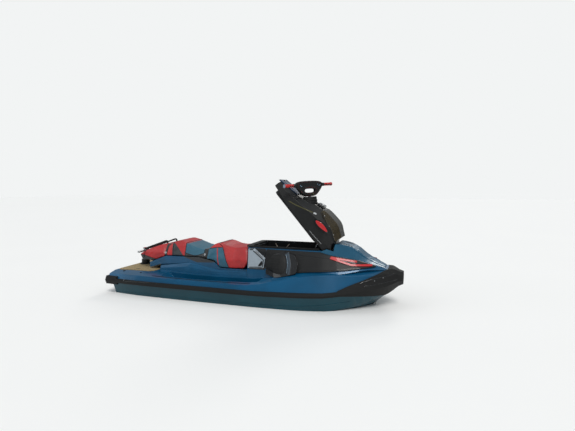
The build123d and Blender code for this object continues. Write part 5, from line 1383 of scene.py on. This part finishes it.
def byAngle(outline, centre, angles):
    # The outline's point in each direction from the centre.
    p = roundedOutline(outline, 1200, 3) - centre
    a, r = np.arctan2(p[:, 1], p[:, 0]), np.hypot(p[:, 0], p[:, 1])
    r = np.interp(angles, a[np.argsort(a)], r[np.argsort(a)], period=2 * np.pi)
    return centre + r[:, None] * np.stack([np.cos(angles), np.sin(angles)], axis=-1)


def ringPad(outer, inner, half, power, sides=26):
    # Closed ring whose section is |across|^p + |rise|^p = 1 between the outer and the inner line.
    a = np.linspace(0, 2 * np.pi, sides, endpoint=False)
    across = np.sign(np.cos(a)) * np.abs(np.cos(a)) ** (2 / power)
    rise = half * np.sign(np.sin(a)) * np.abs(np.sin(a)) ** (2 / power)
    plan = (outer + inner)[:, None] / 2 + across[None, :, None] * (outer - inner)[:, None] / 2
    points = np.stack([np.broadcast_to(rise, plan.shape[:2]), plan[..., 0], plan[..., 1]], axis=-1)
    return points.reshape(-1, 3), gridFaces(len(outer), sides, wrapRows=True, wrapCols=True)


padAngles = np.linspace(-np.pi, np.pi, padLook["points"], endpoint=False)
padHoleAt = np.array(padLook["hole"])
padOuter, padInner = byAngle(padEdge, padHoleAt, padAngles), byAngle(padHole, padHoleAt, padAngles)
padShape = ringPad(padOuter, padInner, padLook["half"], padLook["power"])
padCover = makePiece("bar_pad_cover", (onBar(padShape[0]), padShape[1]), materials["pad_black"], "steering")
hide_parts("bar_pad")


def lineOnPad(part, face, extra=0.0):
    # Line round the pad at this part of the way from its middle to an edge, on the face of that sign.
    ring = (padOuter + padInner) / 2 + part * (padOuter - padInner) / 2
    rise = face * (padLook["half"] * (1 - abs(part) ** padLook["power"]) ** (1 / padLook["power"]) + extra)
    return np.stack([np.full(len(ring), rise), ring[:, 0], ring[:, 1]], axis=-1)


padPipes, padThreads = [], []
for part in padLook["pipesAt"]:
    for face in (-1, 1):
        path = lineOnPad(part, face)
        padPipes.append(tube(onBar(np.vstack([path, path[:2]])), padLook["piping"], 8, up=(0.2, 0.3, 1.0)))
        spots = onBar(lineOnPad(part * padLook["stitchesAt"], face, padLook["stitchRise"]))
        outward = onBar([[face, 0, 0]]) - onBar([[0, 0, 0]])
        padThreads.append(repeated(stitchShape(), spots, np.gradient(spots, axis=0),
                                   np.tile(outward, (len(spots), 1))))
dress("pad_piping", "black_rubber", padPipes, "steering")
dress("pad_stitches", "red_paint", padThreads, "steering")


# Column boot: pleated skirt from a round neck under the bar down to an oval foot on the lid
bootLook = {"top": -0.1365, "neck": 0.078, "inner": 0.024, "along": 0.085, "across": 0.116, "pleat": 0.0030,
            "pleats": 3, "sink": 0.006, "least": 0.008,
            "lidX": [-0.12, -0.09, -0.06, -0.03, 0.0, 0.03, 0.06, 0.09],  # the lid, as the column sees it
            "lidZ": [-0.095, -0.120, -0.145, -0.167, -0.188, -0.204, -0.217, -0.231]}


def makeBoot(look, rings=46, sides=72):
    # Ring t at angle a: radius from neck to foot oval, plus pleat * sin(2 pi n t) * sin(pi t), and height
    # from the top to the lid.
    a = np.linspace(0, 2 * np.pi, sides, endpoint=False)
    t = np.linspace(0, 1, rings)[:, None]
    grow = t**0.8
    swell = look["pleat"] * np.sin(2 * np.pi * look["pleats"] * t) * np.sin(np.pi * t)
    x = ((1 - grow) * look["neck"] + grow * look["along"] + swell) * np.cos(a)
    y = ((1 - grow) * look["neck"] + grow * look["across"] + swell) * np.sin(a)
    lidZ = np.interp(look["along"] * np.cos(a), look["lidX"], look["lidZ"]) - look["sink"]
    z = (1 - t) * look["top"] + t * np.minimum(lidZ, look["top"] - look["least"])
    wall = np.stack([x, y, z], axis=-1)
    lip = np.stack([0.94 * x[0], 0.94 * y[0], z[0] + 0.003], axis=-1)
    neck = np.stack([look["inner"] * np.cos(a), look["inner"] * np.sin(a), z[0] + 0.001], axis=-1)
    points, faces = capped(np.concatenate([neck[None], lip[None], wall]))
    return onColumn(points), faces


boot = makePiece("column_boot", makeBoot(bootLook), materials["black_rubber"], "lid")
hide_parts("column_base")

# Knob and buttons on the pad
knobLook = {"profile": [(0.0225, 0.0095), (0.0285, 0.0090), (0.0300, 0.0060)], "at": (0, 0.036, -0.106)}
buttonLook = {"profile": [(0.0225, 0.0058), (0.0262, 0.0054), (0.0268, 0.0035)],
              "at": ((0.140, -0.012), (0.158, -0.004), (-0.140, -0.012), (-0.158, -0.004), (0.120, 0.004))}
knob, knobFaces = turned(knobLook["profile"], (0, 0, 0), (1, 0, 0), 20)
dress("pad_knob", "olive", [(onBar(knob + knobLook["at"]), knobFaces)], "steering")
buttons = []
for y, z in buttonLook["at"]:
    for face in (-1, 1):
        points, faces = turned([(face * d, r) for d, r in buttonLook["profile"]], (0, 0, 0), (1, 0, 0), 14)
        buttons.append((onBar(points + (0, y, z)), faces))
dress("pad_buttons", "grey_blue", buttons, "steering")
print("handlebar trimmed")


# Console sides: bright sloping bar, black frame round the plate with a black strip of painted shadow between
# plate and bar, and a black back on the deck
slope = np.array([(0.100, 0.582), (0.226, 0.490)])  # middle of the solid's own raised bar
slopeWay = unit(slope[1] - slope[0])
slopeOff = np.array([slopeWay[1], -slopeWay[0]])  # towards the plate
barUpper, barLower = slope[0] + slopeWay * 0.014, slope[1] - slopeWay * 0.012
barHalf = slopeOff * 0.007
# Line between the plate and the bar, where a black strip of painted shadow goes
barShadowLine = slope + slopeOff * 0.021 + slopeWay * [[-0.008], [0.004]]
consoleBackLook = {"on": "deck", "seen": "sides", "height": 0.0045, "points": 72, "rounding": 1, "rings": 9,
                   "outlines": [[(0.012, 0.360), (0.140, 0.364), (0.256, 0.366), (0.256, 0.480),
                                 (0.256, 0.596), (0.130, 0.598), (0.012, 0.598)]]}
barOutline = [barUpper - barHalf, barLower - barHalf, barLower + barHalf, barUpper + barHalf]
consoleBarLook = {"on": "console_sides", "seen": "sides", "height": 0.0030, "points": 48, "rounding": 2,
                  "rings": 3, "outlines": [barOutline]}
cornerLook = {**consoleBarLook, "height": 0.0026,
              "outlines": [[(0.196, 0.470), (0.204, 0.440), (0.196, 0.404), (0.140, 0.400), (0.168, 0.430)]]}
frameLook = {"on": "console_sides", "seen": "sides", "height": 0.0030}
frameEdges = [  # line, width, points
    # first edge: the black strip of painted shadow between the plate and the bar
    (np.linspace(barShadowLine[0], barShadowLine[1], 4), 0.010, 40),
    ([(0.036, 0.579), (0.060, 0.579), (0.084, 0.579)], 0.012, 24),
    ([(0.213, 0.474), (0.210, 0.430), (0.205, 0.392)], 0.012, 30),
    ([(0.034, 0.382), (0.110, 0.387), (0.200, 0.392)], 0.010, 30),
]
consoleFramesAndShadow = padsOf(cornerLook)
for line, width, count in frameEdges:
    consoleFramesAndShadow += stripsOf({**frameLook, "lines": [line], "width": width, "points": count})
dress("console_backs", "black_gloss", padsOf(consoleBackLook))
dress("console_bars", "steel", padsOf(consoleBarLook))
dress("console_frames_and_shadow", "black_gloss", consoleFramesAndShadow)
print("console trimmed")


# Bin: seal bead on the rim, floor ribs and pale V strips on its side walls that are painted highlights
beadLook = {"radius": 0.0032, "height": 0.6190, "rear": 0.036, "front": 0.8475, "half": 0.2475,
            "corner": 0.052}
beadPlan = roundedPlan(beadLook["rear"], beadLook["front"], beadLook["half"], beadLook["corner"])
beadPlan = np.vstack([beadPlan, beadPlan[:2]])
beadPath = np.column_stack([beadPlan, np.full(len(beadPlan), beadLook["height"])])
binRibLook = {"on": "bin_liner", "seen": "middle", "width": 0.012, "height": 0.004, "points": 40,
              "lines": [[(0.10, y), (0.45, y), (0.79, y)] for y in np.linspace(-0.17, 0.17, 7)]}
# V strips on the side walls: painted highlights of lit edges in the bin
binHighlightLook = {"on": "bin_liner", "seen": "inside", "width": 0.011, "height": 0.004, "points": 30,
               "lines": [[(0.16, 0.590), (0.215, 0.500), (0.235, 0.470)],
                         [(0.235, 0.470), (0.275, 0.515), (0.345, 0.590)]]}
dress("bin_seal", "black_rubber", [tube(beadPath, beadLook["radius"], 10)])
dress("bin_ribs", "black_rubber", stripsOf(binRibLook))
dress("bin_v_highlights", "pale_trim", stripsOf(binHighlightLook))

# Mats: a bead along the platform mat's edges, open behind the seat, and ribs across each footwell mat
matEndLook = {"on": "platform_mat", "seen": "middle", "width": 0.007, "height": 0.003, "points": 60,
              "lines": [[(x, y0), (x, (y0 + y1) / 2), (x, y1)] for x, y0, y1 in
                        ((-1.690, -0.385, 0.385), (-1.205, -0.385, -0.275), (-1.205, 0.275, 0.385))]}
matSideLook = {**matEndLook, "seen": "above",
               "lines": [[(-1.680, 0.395), (-1.450, 0.395), (-1.215, 0.395)]]}
wellRibLook = {"on": "footwell_mats", "seen": "above", "width": 0.009, "height": 0.0028, "points": 10,
               "lines": [[(x, 0.365), (x + 0.006, 0.425), (x, 0.485)]
                         for x in -0.83 + 0.036 * np.arange(26)]}
dress("mat_beads", "mat_tan", stripsOf(matEndLook) + stripsOf(matSideLook))
dress("well_ribs", "mat_black", stripsOf(wellRibLook))
print("bin and mats trimmed")


# Stern: bumper lips and screws, two drain plugs and two flush plugs on the transom
sternLipLook = {"on": "stern_bumper", "seen": "astern", "width": 0.007, "height": 0.0028, "points": 90,
                "lines": [[(-0.50, z), (-0.25, z + 0.001), (0.0, z + 0.001), (0.25, z + 0.001), (0.50, z)]
                          for z in (0.148, 0.186)]}
sternScrewLook = {"on": "stern_bumper", "seen": "astern", "radius": 0.0058, "height": 0.003,
                  "ahead": (0.0, 1.0, 0.0), "at": [(y, 0.167) for y in np.linspace(-0.46, 0.46, 9)]}
drainLook = {"on": "hull", "seen": "asternPair", "at": [(0.235, -0.010)], "radius": 0.017, "height": 0.007,
             "edges": 24, "ahead": (0.0, 1.0, 0.0)}
flushLook = {**drainLook, "at": [(0.420, 0.040)], "radius": 0.012}
plugHeads = {"height": 0.011, "edges": 6}  # hexagon on each plug
transomPlugs = []
for look in (drainLook, flushLook):
    transomPlugs += studsOf(look) + studsOf({**look, **plugHeads, "radius": look["radius"] * 0.45})
dress("stern_lips", "black_gloss", stripsOf(sternLipLook))
dress("stern_screws", "steel", studsOf(sternScrewLook))
dress("transom_plugs", "black_plastic", transomPlugs)

# Ribbed sleeve on the boarding step's tread, and the red cap of the pylon
sleeveLook = {"half": 0.150, "radius": 0.0122, "rib": 0.0010, "ribs": 20, "ends": 0.0102, "drop": 0.010}
sleeveY = np.linspace(-sleeveLook["half"], sleeveLook["half"], 121)
sleeveWave = np.sin(np.pi * sleeveLook["ribs"] * (sleeveY / sleeveLook["half"] + 1) / 2)
sleeveRadius = sleeveLook["radius"] + sleeveLook["rib"] * np.abs(sleeveWave)
sleeveRadius[[0, -1]] = sleeveLook["ends"]
stepLow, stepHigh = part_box("boarding_step")
sleeveAt = ((stepLow[0] + stepHigh[0]) / 2, 0.0, stepHigh[2] - sleeveLook["drop"])
dress("step_sleeve", "black_rubber", [turned(list(zip(sleeveY, sleeveRadius)), sleeveAt, (0, 1, 0), 20)],
      "step")
pylonCapLook = {"x": -1.590, "profile": [(0.4835, 0.0200), (0.4870, 0.0190), (0.4885, 0.0100)]}
dress("pylon_cap", "red_paint", [turned(pylonCapLook["profile"], (pylonCapLook["x"], 0, 0), (0, 0, 1), 32)],
      "pylon")

# Bolts under the ride plate and on the step's brackets
rideLow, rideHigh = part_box("ride_plate")
rideBoltLook = {"on": "ride_plate", "seen": "below", "radius": 0.0070, "height": 0.004, "edges": 6,
                "at": [(x, 0.075) for x in np.linspace(rideLow[0] + 0.035, rideHigh[0] - 0.05, 4)]}
bracketBoltLook = {"on": "step_brackets", "seen": "asternPair", "radius": 0.0035, "height": 0.002, "edges": 6,
                   "ahead": (0.0, 1.0, 0.0), "at": [(y, z) for y in (0.190, 0.220) for z in (-0.052, -0.028)]}
dress("ride_bolts", "steel", studsOf(rideBoltLook))
dress("bracket_bolts", "steel", studsOf(bracketBoltLook))
print("stern trimmed")


# Studio: pale floor at the waterline, three soft suns and a grey dome that the camera doesn't see
floorLook = {"half": 40.0, "colour": "#f2f2f1", "shade": "#f0f0ef", "roughness": 0.9}
floorPoints = [(x * floorLook["half"], y * floorLook["half"], 0.0)
               for x, y in ((-1, -1), (1, -1), (1, 1), (-1, 1))]
floorMesh = bpy.data.meshes.new("floor")
floorMesh.from_pydata(floorPoints, [], [(0, 1, 2, 3)])
floor = bpy.data.objects.new("floor", floorMesh)
bpy.context.scene.collection.objects.link(floor)
floorMaterial, floorTree, floorShader, floorPlace = newMaterial("floor")
floorNoise = put(floorTree, "TexNoise", {"Vector": floorPlace, "Scale": 0.6, "Detail": 2.0})
plug(floorTree, floorShader.inputs["Base Color"],
     mixed(floorTree, floorNoise.outputs["Fac"], rgb(floorLook["shade"]), rgb(floorLook["colour"])))
floorShader.inputs["Roughness"].default_value = floorLook["roughness"]
floorMesh.materials.append(floorMaterial)

lamps = {
    "key": {"from": (2.5, -4.0, 6.0), "angle": 24.0, "strength": 1.75, "colour": (1.0, 0.98, 0.95)},
    "fill": {"from": (-5.0, -2.5, 3.0), "angle": 40.0, "strength": 0.35, "colour": (0.95, 0.98, 1.0)},
    "rim": {"from": (0.5, 6.0, 3.5), "angle": 20.0, "strength": 0.6, "colour": (1.0, 0.97, 0.92)},
}
for name, lamp in lamps.items():
    data = bpy.data.lights.new(name, "SUN")
    data.angle, data.energy, data.color = math.radians(lamp["angle"]), lamp["strength"], lamp["colour"]
    piece = bpy.data.objects.new(name, data)
    bpy.context.scene.collection.objects.link(piece)
    piece.location = lamp["from"]
    piece.rotation_euler = (-Vector(lamp["from"])).to_track_quat("-Z", "Y").to_euler()

domeLook = {"low": "#5f656b", "high": "#c3c8cc", "seen": "#f2f4f4", "from": -0.1, "to": 0.9}
world = bpy.data.worlds.new("studio")
bpy.context.scene.world = world
world.use_nodes = True
sky = world.node_tree
sky.nodes.clear()
lightPath = put(sky, "LightPath")
height = put(sky, "SeparateXYZ", {0: put(sky, "TexCoord").outputs["Generated"]}).outputs["Z"]
dome = mixed(sky, spread(sky, height, domeLook["from"], domeLook["to"]), rgb(domeLook["low"]),
             rgb(domeLook["high"]))
seen = mixed(sky, lightPath.outputs["Is Camera Ray"], dome, rgb(domeLook["seen"]))
background = put(sky, "Background", {"Color": seen, "Strength": 1.0})
skyOut = put(sky, "OutputWorld")
sky.links.new(background.outputs[0], skyOut.inputs["Surface"])
print("studio set")
